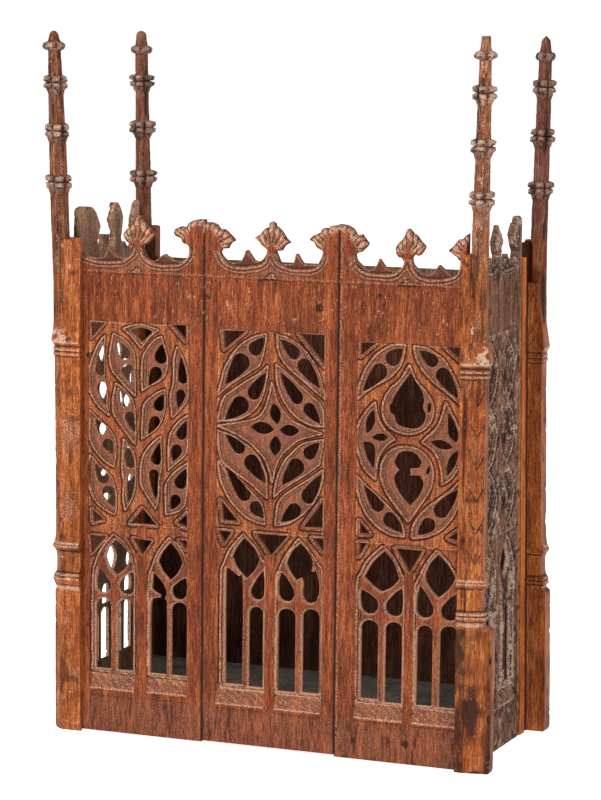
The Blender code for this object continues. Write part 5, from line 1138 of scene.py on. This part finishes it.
def post_skin(side, rear, style, seed):
    """The square part of a post: its rings, with carved scales, tool marks, nicks and a ragged top.

    Pointed scales that overlap like tongues lie on the facet: each is thickest at its tip and thins
    out upwards under the next one. position counts the sides: its whole part is the side's number.
    """
    stretches = [np.linspace(low, high, count + 1)[1:] for low, high, count in POST_ROWS]
    rows_z = np.concatenate([[0.0]] + stretches)
    rings = post_rings(rows_z, side, rear, style)
    rows, columns, _ = rings.shape
    z = rows_z[:, None].repeat(columns, 1)
    position = np.concatenate([np.arange(count) / count + k for k, count in enumerate(POST_SIDES)])
    position = position[None].repeat(rows, 0)
    flat = np.stack([position.ravel() * 7.0, z.ravel()], 1)

    def cloud(size, number):
        return noise(flat, size, seed + number).reshape(rows, columns)

    outer = (position > 1.0) & (position < 4.0)
    from_middle = np.abs((position - 2.0) * 2.0 - 1.0)
    rise = 13.0 * np.minimum(from_middle / 0.8, 1.0) ** 1.1 + 80.0 * np.maximum(0.0, from_middle - 0.8)
    within = (SCALE_FOOT + rise + 1.2 * cloud((5, 9), 7) - z) / SCALE_PITCH % 1.0
    scales = ramp(z, 212, 216) * (1.0 - ramp(z, 386, 396)) * style["scales"]
    scales *= (position > 2.0) * (position < 3.0)
    low, high = style["chip"]
    chipped = ramp(z, low - 2.0, low + 4.0) * (1.0 - ramp(z, high - 8.0, high + 2.0))
    chipped *= ramp(cloud((3, 6), 9) + 0.5 * cloud((1.3, 2), 10), -0.5, 0.1)
    chipped *= (position > style["chip_from"]) & (position < 3.02)
    nicks = ramp(cloud((3, 9), 31), 0.78, 0.92) * (position > 2.8) * (position < 3.2)
    push = scales * 2.0 * within ** 1.4 * (within < 0.965)
    push += (0.20 * cloud((3, 30), 1) + 0.14 * cloud((2, 6), 2) + 0.10 * cloud((1.2, 2.5), 3)) * outer
    push -= 0.7 * chipped * (0.5 + cloud((2, 3), 11)) + 1.3 * nicks
    x = side * (rings[:, :, 0] + 0.40 * push)
    y = rings[:, :, 1] - 0.92 * push
    ragged = 1.8 * noise(np.stack([position[0] * 4.0, np.zeros(columns)], 1), (1.1, 1.0), seed + 5) - 1.5
    top = z + ragged * ramp(z, 505.0, STILE_TOP)
    points, triangles = closed_skin(np.stack([x, DEPTH - y if rear else y, top], 2))

    base, band, collar = style["raises"]
    base += BASE_TOP
    # Painted highlights on the top faces of the bands, the base's ledge and the collar rings, and painted
    # shade in the hollows between them.
    edges = [(198.0 + band, 1.5), (194.6 + band, 0.8), (164.0 + band, 1.5), (160.0 + band, 0.8),
             (base + 2.5, 2.4), (404.8 + collar, 0.8), (400.1 + collar, 0.7), (412.5 + collar, 1.2)]
    hollows = [(166.8 + band, 1.0), (190.0 + band, 1.0), (base + 5.8, 0.8), (162.2 + band, 0.5),
               (408.4 + collar, 0.8), (402.4 + collar, 0.6), (397.2 + collar, 0.7)]
    ledge = sum(bump(z, height, width) for height, width in edges) * (position < 3.7) * outer
    # The scales' tips take a painted highlight on their edge; the chips are paled as worn wood.
    wear = 0.75 * ledge + 0.8 * chipped + 0.5 * scales * bump(within, 0.95, 0.03)
    wear += 0.25 * bump(position, 2.0, 0.04) * (z > base) * outer
    wear += 0.5 * ramp(cloud((1.3, 2.6), 21), 0.72, 0.9) * outer
    grime = sum(bump(z, height, width) for height, width in hollows) + 0.5 * nicks
    # Painted shade just below each scale's tip and on the three sides that turn in towards the side panel.
    grime += 1.15 * scales * bump(within, 0.025, 0.045) + 1.2 * (position > 5.0) * (position < 8.0)
    grime += 0.45 * ramp(cloud((2.6, 60), 13), 0.1, 0.7) * outer
    grime += 0.6 * ramp(cloud((3.5, 14), 22), 0.5, 0.85) * outer
    grime += style["foot"] * 0.5 * (position < 2.0)
    grime += style["foot"] * (1.0 - ramp(z, base - 4.0, base)) * (0.75 + 0.5 * cloud((3, 8), 24))
    recess = 0.9 * chipped + 0.45 * ledge + 0.3 * ramp(cloud((6, 30), 23), 0.3, 0.9) * outer
    tint = 0.35 * ramp(z, 430.0, 520.0) * style["dusk"]
    return points, triangles, {"wear": wear, "grime": grime, "recess": recess, "tint": tint}


def spire_skin(side, rear, style, seed):
    """The pinnacle: a radius over angle and height. It has eight faint faces and leans from its foot.

    Each collar is two tiers of leaf knobs: a hump over the height whose reach goes with the cosine of
    six times the angle, abrupt above and tapering below, where the leaves hang down as points.
    """
    stops = []
    start = SPIRE_FOOT
    for collar in style["collars"]:
        stops += [(start, collar - 15.0, False), (collar - 15.0, collar + 9.0, True)]
        start = collar + 9.0
    rows_z = grid_lines(stops + [(start, TIP_FOOT, False), (TIP_FOOT, SPIRE_TOP, True)], 0.7, 2.4)
    z = rows_z[:, None].repeat(SPIRE_SIDES, 1)
    angle = np.arange(SPIRE_SIDES) * 2.0 * math.pi / SPIRE_SIDES
    turned_angle = angle + style["turn"]
    wrap = np.stack([np.tile(angle * 6.0, len(z)), z.ravel()], 1)

    def cloud(size, number):
        return noise(wrap, size, seed + number).reshape(z.shape)

    fold = turned_angle % (2.0 * EIGHTH) - EIGHTH
    shaft = np.interp(z, *zip(*style["shaft_radii"])) * (0.35 + 0.65 / np.cos(fold)) / 1.05
    lobe = np.abs(np.cos(3.0 * turned_angle)) ** 0.9
    lobes, vein, crown = np.zeros((3,) + z.shape)
    jitter = 0.8 * cloud((3.4, 5.0), 40)
    lumps = 1.0 + 0.1 * cloud((3.0, 2.4), 41)
    for collar, half, reach in zip(style["collars"], style["spacing"], style["reach"]):
        for tier in (half, -half):
            up = z - collar - tier + jitter
            hump = np.clip(1.0 - (np.abs(up) / 3.35) ** 3.6, 0.0, 1.0) ** 0.5
            lobes = np.maximum(lobes, hump * (reach - shaft) * (0.16 + 0.84 * lobe) * lumps)
            crown = np.maximum(crown, hump * lobe ** 2.0 * (up > -0.8))
            vein = np.maximum(vein, hump * (1.0 - lobe) ** 1.5)
        down = z - (collar - half - 2.6)
        taper = np.clip(1.0 + down / (4.5 + 3.5 * lobe), 0.0, 1.0) * (down < 0.0)
        lobes = np.maximum(lobes, taper * (reach - shaft) * 0.52 * (0.35 + 0.65 * lobe))
        vein = np.maximum(vein, bump(taper, 0.06, 0.08) * 0.8 + 0.9 * (taper > 0.0) * (1.0 - lobe) ** 1.2)
        vein = np.maximum(vein, 0.75 * bump(z, collar, 0.7))
    knop, knop_reach = style["knop"]
    hump = np.clip(1.0 - (np.abs(z - knop) / 4.6) ** 2.0, 0.0, 1.0) ** 0.65
    knobs = np.abs(np.cos(2.5 * turned_angle + 0.7)) ** 0.8
    lobes = np.maximum(lobes, hump * (knop_reach - shaft) * (0.66 + 0.34 * knobs))
    vein = np.maximum(vein, hump * (1.0 - knobs) ** 1.5)
    crown = np.maximum(crown, hump * knobs ** 2.0 * (z - knop > -0.5))
    above = z > knop + 1.0
    tip = np.interp(z, *zip(*style["tip"]))
    lobes = np.where(above, np.maximum(0.0, lobes + shaft - tip) * (lobes > 0.0), lobes)
    leafy = np.clip(lobes / 2.5, 0.0, 1.0)
    rough = 0.20 * cloud((2.2, 14), 20) + 0.30 * cloud((1.8, 2.6), 21) + 0.26 * cloud((1.0, 1.3), 22)
    radius = np.maximum(np.where(above, tip, shaft) + lobes + rough * (0.5 + 1.4 * leafy), 0.05)
    lean = math.tan(math.radians(style["lean"]))
    x = side * AXIS_OUT + style["outwards"] + np.maximum(0.0, z - LEAN_START) * lean + radius * np.cos(angle)
    y = (DEPTH - AXIS_IN if rear else AXIS_IN) + radius * np.sin(angle)
    points, triangles = closed_skin(np.stack([x, y, z], 2))

    dusk, bleach = style["dusk"], style["bleach"]
    high = ramp(z, 470.0, 540.0)
    # The arrises are paled, partly worn and partly a painted highlight; the upper crowns of the leaf knobs
    # take a painted highlight.
    wear = 0.28 * bump(np.abs(fold), EIGHTH, 0.08) * (1.0 - leafy) + 0.7 * crown
    wear += 0.3 * leafy * ramp(cloud((1.5, 1.6), 26), 0.1, 0.6) + 0.4 * ramp(cloud((1.4, 2.2), 23), 0.7, 0.9)
    wear = wear * (1.0 - 0.4 * dusk) + bleach * high * ramp(cloud((1.6, 6.0), 28), -0.2, 0.7)
    # Painted shade in the veins between the leaf knobs, between the tiers and under the collars.
    grime = 0.95 * vein + 0.5 * leafy * ramp(cloud((1.7, 1.8), 27), 0.0, 0.6) * (1.0 - 0.7 * crown)
    grime = grime * (1.0 - 0.4 * bleach) + 0.4 * ramp(cloud((2.2, 30), 24), 0.2, 0.8)
    recess = 0.9 * leafy * (1.0 - 0.7 * vein) + 0.35 * ramp(cloud((5, 20), 25), 0.2, 0.8)
    recess += 0.4 * bleach * high
    tint = np.maximum(0.8 * dusk * np.maximum(ramp(z, 480.0, 560.0), leafy), 0.55 * leafy)
    return points, triangles, {"wear": wear, "grime": grime, "recess": recess, "tint": tint}


def post_piece(name, side, rear, style, material, seed):
    """A corner post and its pinnacle: two closed skins in one piece."""
    post, post_triangles, masks = post_skin(side, rear, style, seed)
    spire, spire_triangles, spire_masks = spire_skin(side, rear, style, seed)
    for key, values in masks.items():
        ends = np.zeros(2)
        values = np.concatenate([values.ravel(), ends, spire_masks[key].ravel(), ends])
        masks[key] = np.clip(values, 0.0, 1.0)
    piece = new_piece(name, to_world(np.concatenate([post, spire])),
                      np.concatenate([post_triangles, spire_triangles + len(post)]), material, masks)
    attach(piece, "root")
    return piece


# Materials.

def linear(hex_colour):
    """An sRGB hex colour as linear RGBA."""
    value = hex_colour.lstrip("#")
    channels = [int(value[k:k + 2], 16) / 255.0 for k in (0, 2, 4)]
    return tuple(c / 12.92 if c <= 0.04045 else ((c + 0.055) / 1.055) ** 2.4 for c in channels) + (1.0,)


def add_node(tree, kind, settings=None, values=None, links=None):
    """Adds a node, sets its properties and socket values, and links its inputs."""
    node = tree.nodes.new(kind)
    for key, value in (settings or {}).items():
        setattr(node, key, value)
    for key, value in (values or {}).items():
        node.inputs[key].default_value = value
    for key, socket in (links or {}).items():
        tree.links.new(socket, node.inputs[key])
    return node


def ramp_node(tree, source, stops):
    """A colour ramp over hex colours."""
    node = add_node(tree, "ShaderNodeValToRGB", links={"Fac": source})
    elements = node.color_ramp.elements
    while len(elements) < len(stops):
        elements.new(0.5)
    for element, (position, colour) in zip(elements, stops):
        element.position = position
        element.color = linear(colour) if isinstance(colour, str) else (colour, colour, colour, 1.0)
    return node


def map_range(tree, source, values):
    """Maps a value from one range to another, which is 0 to 1 where values doesn't say."""
    return add_node(tree, "ShaderNodeMapRange", values=values, links={"Value": source}).outputs["Result"]


def mix_node(tree, factor, a, b, blend="MIX"):
    """Mixes two colours, where each of factor, a and b is a socket or a value."""
    node = add_node(tree, "ShaderNodeMix", {"data_type": "RGBA", "blend_type": blend})
    for key, value in ((0, factor), (6, a), (7, b)):
        if isinstance(value, (tuple, float)):
            node.inputs[key].default_value = value
        else:
            tree.links.new(value, node.inputs[key])
    return node.outputs[2]


def oak_material(name, palette, tint_palette, recess_colour="#86695a", wear_colour="#d8ab80",
                 grime_colour="#1f0c06", recess_amount=0.7, wear_amount=0.75, grime_amount=0.9,
                 roughness=0.5, bump_height=0.3, blotch_amount=0.6, tint_above=None):
    """Quarter-sawn oak, carved and long handled: vertical grain, open pores, edges worn pale, and painted
    highlights and painted shade from the masks.

    The grain's streaks are about 1 mm wide and 16 mm long, its tone bands 6 mm by 100 mm. The
    masks painted on the mesh are broken up by specks about 1 mm wide.
    """
    material = bpy.data.materials.new(name)
    material.use_nodes = True
    tree = material.node_tree
    tree.nodes.clear()
    out = add_node(tree, "ShaderNodeOutputMaterial")
    where = add_node(tree, "ShaderNodeTexCoord").outputs["Object"]

    def cloud(x, y, z, low, high, detail=3.0, roughness=0.6):
        """Noise whose cells are x by y by z millimetres, stretched so that low to high becomes 0 to 1."""
        place = add_node(tree, "ShaderNodeMapping", values={"Scale": (1000.0 / x, 1000.0 / y, 1000.0 / z)},
                         links={"Vector": where}).outputs["Vector"]
        settings = {"Scale": 1.0, "Detail": detail, "Roughness": roughness}
        raw = add_node(tree, "ShaderNodeTexNoise", values=settings, links={"Vector": place}).outputs["Fac"]
        return map_range(tree, raw, {"From Min": low, "From Max": high})

    def weighted(value, gain, more):
        """value times gain, plus more, which is a socket or a number."""
        links = {0: value}
        values = {1: gain}
        if isinstance(more, float):
            values[2] = more
        else:
            links[2] = more
        return add_node(tree, "ShaderNodeMath", {"operation": "MULTIPLY_ADD"}, values, links).outputs[0]

    fine = cloud(1.0, 1.0, 16.0, 0.32, 0.68, 4.0, 0.7)
    bands = cloud(6.0, 6.0, 100.0, 0.34, 0.66)
    blotch = cloud(28.0, 28.0, 55.0, 0.36, 0.64)
    speck = cloud(1.0, 1.0, 1.1, 0.36, 0.64, 2.0)
    pores = cloud(0.8, 0.8, 6.0, 0.36, 0.46, 2.0)
    mixed = weighted(fine, 0.52, weighted(bands, 0.22, weighted(speck, 0.26, 0.0)))
    base = ramp_node(tree, mixed, palette).outputs["Color"]
    tint = ramp_node(tree, mixed, tint_palette).outputs["Color"]
    tinted = add_node(tree, "ShaderNodeAttribute", {"attribute_name": "tint"}).outputs["Fac"]
    if tint_above is not None:
        # The plain boards have no masks: their tops take lighter tones, going by height in metres.
        height = add_node(tree, "ShaderNodeSeparateXYZ", links={"Vector": where}).outputs["Z"]
        tinted = map_range(tree, height, {"From Min": tint_above, "From Max": tint_above + 0.02})
    base = mix_node(tree, tinted, base, tint)
    blotch_tone = ramp_node(tree, blotch, [(0.0, 0.5), (0.45, 0.95), (1.0, 1.25)]).outputs["Color"]
    base = mix_node(tree, blotch_amount, base, blotch_tone, "MULTIPLY")
    if tint_above is not None:
        # Each board has a tone of its own.
        chance = add_node(tree, "ShaderNodeObjectInfo").outputs["Random"]
        board_tone = ramp_node(tree, chance, [(0.0, 0.72), (1.0, 1.2)]).outputs["Color"]
        base = mix_node(tree, 1.0, base, board_tone, "MULTIPLY")
    pore_mask = ramp_node(tree, pores, [(0.0, 0.6), (0.6, 0.0)]).outputs["Color"]
    base = mix_node(tree, pore_mask, base, linear(grime_colour))

    def mask(key, gain, low, high, amount):
        """A painted mask, broken up by the specks, so that no edge of it is even."""
        value = add_node(tree, "ShaderNodeAttribute", {"attribute_name": key}).outputs["Fac"]
        edge = map_range(tree, weighted(speck, gain, value),
                         {"From Min": low, "From Max": high, "To Max": amount})
        gate = map_range(tree, value, {"From Min": 0.03, "From Max": 0.2})
        product = add_node(tree, "ShaderNodeMath", {"operation": "MULTIPLY"}, links={0: edge, 1: gate})
        return product.outputs[0]

    recess_tone = mix_node(tree, 0.75, linear(recess_colour), base)
    recess_tone = mix_node(tree, speck, recess_tone, linear(recess_colour))
    base = mix_node(tree, mask("recess", 0.6, 0.45, 1.1, recess_amount), base, recess_tone)
    # The dark mask is dirt and painted shade, the pale mask worn wood and painted highlights.
    base = mix_node(tree, mask("grime", 0.5, 0.55, 1.05, grime_amount), base, linear(grime_colour))
    base = mix_node(tree, mask("wear", 0.9, 0.80, 1.35, wear_amount), base, linear(wear_colour))
    relief = weighted(fine, 1.0, weighted(speck, 0.5, pores))
    bump_node = add_node(tree, "ShaderNodeBump", values={"Strength": 0.6, "Distance": bump_height * MM},
                         links={"Height": relief})
    rough = map_range(tree, fine, {"To Min": roughness - 0.1, "To Max": roughness + 0.14})
    shader = add_node(tree, "ShaderNodeBsdfPrincipled", values={"Metallic": 0.0, "IOR": 1.5},
                      links={"Base Color": base, "Roughness": rough, "Normal": bump_node.outputs["Normal"]})
    shader.inputs["Specular IOR Level"].default_value = 0.13
    tree.links.new(shader.outputs["BSDF"], out.inputs["Surface"])
    return material


# Oak tones from dark to light, as (position on the ramp, colour).
FRONT_PALETTE = [(0.12, "#2c0e06"), (0.36, "#5c2611"), (0.56, "#7f3c1c"), (0.86, "#ae663c")]
POST_PALETTE = [(0.12, "#3a1507"), (0.36, "#723314"), (0.56, "#985022"), (0.86, "#c48248")]
SIDE_PALETTE = [(0.12, "#1a0b06"), (0.36, "#462415"), (0.56, "#714227"), (0.86, "#ab7c5c")]
DARK_PALETTE = [(0.12, "#1e0e09"), (0.40, "#402218"), (0.60, "#5c3626"), (0.86, "#7c5744")]
FLOOR_PALETTE = [(0.12, "#3a342f"), (0.40, "#5a524b"), (0.60, "#746a62"), (0.86, "#958b82")]
PINNACLE_PALETTE = [(0.12, "#200e0e"), (0.36, "#4c2721"), (0.56, "#6f4138"), (0.86, "#a27a70")]
PALE_PALETTE = [(0.12, "#4a2818"), (0.36, "#8a5638"), (0.56, "#b07e5c"), (0.86, "#d8b296")]
BACK_PALETTE = [(0.12, "#3a2a22"), (0.40, "#5c4438"), (0.60, "#7a6152"), (0.86, "#a08a7c")]
BEAD_PALETTE = [(0.12, "#4a1c06"), (0.36, "#8c4112"), (0.56, "#b45f24"), (0.86, "#d8924e")]
MATERIALS = {}


# Add-on classes.

class ReliquarySizes(bpy.types.PropertyGroup):
    """The pitch of the carving's grid and the thickness of the panels"""
    grid_fine: bpy.props.FloatProperty(
        name="Carving pitch", description="Grid pitch over the tracery, in millimetres",
        default=0.85, min=0.4, max=4.0)
    grid_coarse: bpy.props.FloatProperty(
        name="Plain pitch", description="Grid pitch over plain wood, in millimetres",
        default=2.6, min=1.0, max=8.0)
    panel_thickness: bpy.props.FloatProperty(
        name="Panel thickness", description="Thickness of a carved panel in millimetres",
        default=PANEL_THICKNESS, min=5.0, max=20.0)


class ReliquaryColours(bpy.types.PropertyGroup):
    """The colour of the studio"""
    floor_tone: bpy.props.FloatVectorProperty(
        name="Floor", description="Colour of the studio floor", subtype="COLOR", size=3,
        default=(0.86, 0.86, 0.86), min=0.0, max=1.0)


class RELIQUARY_OT_materials(bpy.types.Operator):
    """Mixes the six oaks of the box"""
    bl_idname = "reliquary.materials"
    bl_label = "Oak materials"

    def execute(self, context):
        MATERIALS["front"] = oak_material("carved_oak_waxed", FRONT_PALETTE, POST_PALETTE,
                                          recess_colour="#8f6450", wear_colour="#cfa285", recess_amount=0.6)
        MATERIALS["post"] = oak_material("post_oak_waxed", POST_PALETTE, PINNACLE_PALETTE, roughness=0.48,
                                         recess_colour="#b49e90", wear_colour="#cdab90", wear_amount=0.7)
        MATERIALS["side"] = oak_material("weathered_oak", SIDE_PALETTE, PALE_PALETTE, roughness=0.7,
                                         recess_colour="#8f7260", wear_colour="#c8ae9c", blotch_amount=0.8,
                                         bump_height=0.6)
        MATERIALS["dark"] = oak_material("raw_dark_oak", DARK_PALETTE, BACK_PALETTE, roughness=0.8,
                                         tint_above=0.47)
        MATERIALS["floor"] = oak_material("dusty_grey_oak", FLOOR_PALETTE, BACK_PALETTE, roughness=0.85)
        MATERIALS["bead"] = oak_material("batten_oak_waxed", BEAD_PALETTE, POST_PALETTE, roughness=0.45)
        return {"FINISHED"}


class RELIQUARY_OT_front_panels(bpy.types.Operator):
    """Carves the three front panels"""
    bl_idname = "reliquary.front_panels"
    bl_label = "Front panels"

    def execute(self, context):
        sizes = context.scene.reliquary_sizes
        plans = [("left", left_plan()), ("middle", middle_plan()), ("right", right_plan())]
        for number, (side, plan) in enumerate(plans):
            start = LEFT_EDGE + number * (FRONT_WIDTH + GAP)
            right_edge = min(FRONT_WIDTH, RIGHT_EDGE - start)
            piece = carved_panel("carved_front_" + side, plan, FRONT_WIDTH, right_edge,
                                 turned(start, 0.0, 0), MATERIALS["front"], sizes)
            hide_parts("front_panel_" + side)
        return {"FINISHED"}


class RELIQUARY_OT_side_panels(bpy.types.Operator):
    """Carves the two side panels, on coarser grids than the front"""
    bl_idname = "reliquary.side_panels"
    bl_label = "Side panels"

    def execute(self, context):
        sizes = context.scene.reliquary_sizes
        right = carved_panel("carved_side_right", right_side_plan(), SIDE_WIDTH, SIDE_WIDTH,
                             turned(HALF_WIDTH, SIDE_PANEL_FRONT, 1), MATERIALS["side"], sizes, 1.4)
        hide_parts("side_panel_right")
        left = carved_panel("carved_side_left", left_side_plan(), SIDE_WIDTH, SIDE_WIDTH,
                            turned(-HALF_WIDTH, SIDE_PANEL_FRONT + SIDE_WIDTH, 3), MATERIALS["side"],
                            sizes, 1.6)
        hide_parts("side_panel_left")
        return {"FINISHED"}


class RELIQUARY_OT_posts(bpy.types.Operator):
    """Builds the four corner posts with their pinnacles"""
    bl_idname = "reliquary.posts"
    bl_label = "Corner posts"

    def execute(self, context):
        for number, (corner, style) in enumerate(POST_STYLES.items()):
            side = -1.0 if corner.endswith("left") else 1.0
            piece = post_piece("carved_post_" + corner, side, corner.startswith("back"), style,
                               MATERIALS["post"], 101 * (number + 1))
            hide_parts("post_" + corner)
        return {"FINISHED"}


class RELIQUARY_OT_boards(bpy.types.Operator):
    """Gives the battens, back boards and floor their finish"""
    bl_idname = "reliquary.boards"
    bl_label = "Boards"

    def execute(self, context):
        finishes = {"side_batten": "bead", "back_board": "dark", "floor_board": "floor"}
        for name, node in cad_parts.items():
            for start, finish in finishes.items():
                if name.startswith(start):
                    node.data.materials.clear()
                    node.data.materials.append(MATERIALS[finish])
        return {"FINISHED"}


STUDIO_REACH = 8.0                     # half the side of the studio floor, in metres


def area_light(name, place, target, size, power, colour=(1.0, 1.0, 1.0)):
    """A rectangular lamp at a place, turned towards its target. Places are in metres, power in watts."""
    data = bpy.data.lights.new(name, "AREA")
    data.shape = "RECTANGLE"
    data.size, data.size_y = size
    data.energy = power
    data.color = colour
    light = bpy.data.objects.new(name, data)
    direction = mathutils.Vector(target) - mathutils.Vector(place)
    light.location = place
    light.rotation_euler = direction.to_track_quat("-Z", "Y").to_euler()
    bpy.context.scene.collection.objects.link(light)


class RELIQUARY_OT_stage(bpy.types.Operator):
    """Sets the floor, the air and the lights"""
    bl_idname = "reliquary.stage"
    bl_label = "Studio"

    def execute(self, context):
        colours = context.scene.reliquary_colours
        context.scene.view_settings.view_transform = "Standard"
        material = bpy.data.materials.new("studio_floor_paint")
        material.use_nodes = True
        shader = material.node_tree.nodes["Principled BSDF"]
        shader.inputs["Base Color"].default_value = tuple(colours.floor_tone) + (1.0,)
        shader.inputs["Roughness"].default_value = 0.9
        shader.inputs["Emission Color"].default_value = (1.0, 1.0, 1.0, 1.0)
        shader.inputs["Emission Strength"].default_value = 0.85
        mesh = bpy.data.meshes.new("studio_floor")
        quarters = ((-1, -1), (1, -1), (1, 1), (-1, 1))
        corners = [(x * STUDIO_REACH, y * STUDIO_REACH, 0.0) for x, y in quarters]
        mesh.from_pydata(corners, [], [(0, 1, 2, 3)])
        mesh.materials.append(material)
        floor = bpy.data.objects.new("studio_floor", mesh)
        bpy.context.scene.collection.objects.link(floor)

        world = bpy.data.worlds.new("studio_air")
        world.use_nodes = True
        tree = world.node_tree
        seen = add_node(tree, "ShaderNodeLightPath").outputs["Is Camera Ray"]
        level = map_range(tree, seen, {"To Min": 0.46, "To Max": 1.05})
        tree.links.new(level, tree.nodes["Background"].inputs["Strength"])
        tree.nodes["Background"].inputs["Color"].default_value = (1.0, 1.0, 1.0, 1.0)
        bpy.context.scene.world = world

        area_light("key_light", (-1.3, -2.4, 2.1), (0.0, 0.0, 0.35), (0.9, 0.9), 66.0, (1.0, 0.98, 0.95))
        area_light("fill_light", (2.4, -1.6, 1.2), (0.0, 0.0, 0.35), (1.4, 1.4), 22.0)
        area_light("top_light", (0.0, 0.4, 2.6), (0.0, 0.0, 0.3), (2.0, 2.0), 22.0)
        return {"FINISHED"}


# The camera fitted to the photograph: angles in radians, focal length in pixels, offset in metres.
CAMERA_YAW = 0.37847
CAMERA_PITCH = 0.12939
CAMERA_ROLL = 0.01070
CAMERA_FOCAL_PX = 2900.32
CAMERA_OFFSET = (-0.0434801, -0.3645223, 3.0232376)
PICTURE_HEIGHT_PX = 800.0
SENSOR_HEIGHT = 36.0


class RELIQUARY_OT_camera(bpy.types.Operator):
    """Stands the camera where the photograph was taken"""
    bl_idname = "reliquary.camera"
    bl_label = "Camera"

    def execute(self, context):
        cos_yaw, sin_yaw = math.cos(CAMERA_YAW), math.sin(CAMERA_YAW)
        cos_pitch, sin_pitch = math.cos(CAMERA_PITCH), math.sin(CAMERA_PITCH)
        cos_roll, sin_roll = math.cos(CAMERA_ROLL), math.sin(CAMERA_ROLL)
        forward = np.array([-sin_yaw * cos_pitch, cos_yaw * cos_pitch, -sin_pitch])
        level = np.array([cos_yaw, sin_yaw, 0.0])
        upright = np.cross(level, forward)
        right = cos_roll * level + sin_roll * upright
        up = -sin_roll * level + cos_roll * upright
        rotation = np.array([right, up, forward])
        position = -rotation.T @ np.array(CAMERA_OFFSET) + box_shift() * MM
        matrix = mathutils.Matrix.Identity(4)
        for row in range(3):
            matrix[row][:] = right[row], up[row], -forward[row], position[row]
        data = bpy.data.cameras.new("photo_camera")
        data.sensor_fit = "VERTICAL"
        data.sensor_height = SENSOR_HEIGHT
        data.lens = CAMERA_FOCAL_PX / PICTURE_HEIGHT_PX * SENSOR_HEIGHT
        data.clip_end = 50.0
        camera = bpy.data.objects.new("photo_camera", data)
        camera.matrix_world = matrix
        bpy.context.scene.collection.objects.link(camera)
        bpy.context.scene.camera = camera
        return {"FINISHED"}


class RELIQUARY_PT_panel(bpy.types.Panel):
    """Lists the steps that dress the box"""
    bl_label = "Gothic Reliquary"
    bl_space_type = "VIEW_3D"
    bl_region_type = "UI"
    bl_category = "Reliquary"

    def draw(self, context):
        for group in (context.scene.reliquary_sizes, context.scene.reliquary_colours):
            for key in group.__annotations__:
                self.layout.prop(group, key)
        for step in STEPS:
            self.layout.operator(step.bl_idname)


STEPS = (RELIQUARY_OT_camera, RELIQUARY_OT_materials, RELIQUARY_OT_front_panels, RELIQUARY_OT_side_panels,
         RELIQUARY_OT_posts, RELIQUARY_OT_boards, RELIQUARY_OT_stage)
CLASSES = (ReliquarySizes, ReliquaryColours) + STEPS + (RELIQUARY_PT_panel,)


def register():
    for entry in CLASSES:
        bpy.utils.register_class(entry)
    bpy.types.Scene.reliquary_sizes = bpy.props.PointerProperty(type=ReliquarySizes)
    bpy.types.Scene.reliquary_colours = bpy.props.PointerProperty(type=ReliquaryColours)


def unregister():
    del bpy.types.Scene.reliquary_sizes
    del bpy.types.Scene.reliquary_colours
    for entry in reversed(CLASSES):
        bpy.utils.unregister_class(entry)


def main():
    register()
    for step in STEPS:
        group, action = step.bl_idname.split(".")
        result = getattr(getattr(bpy.ops, group), action)()
        if result != {"FINISHED"}:
            raise RuntimeError(step.bl_idname + " didn't finish")


if __name__ == "__main__":
    main()
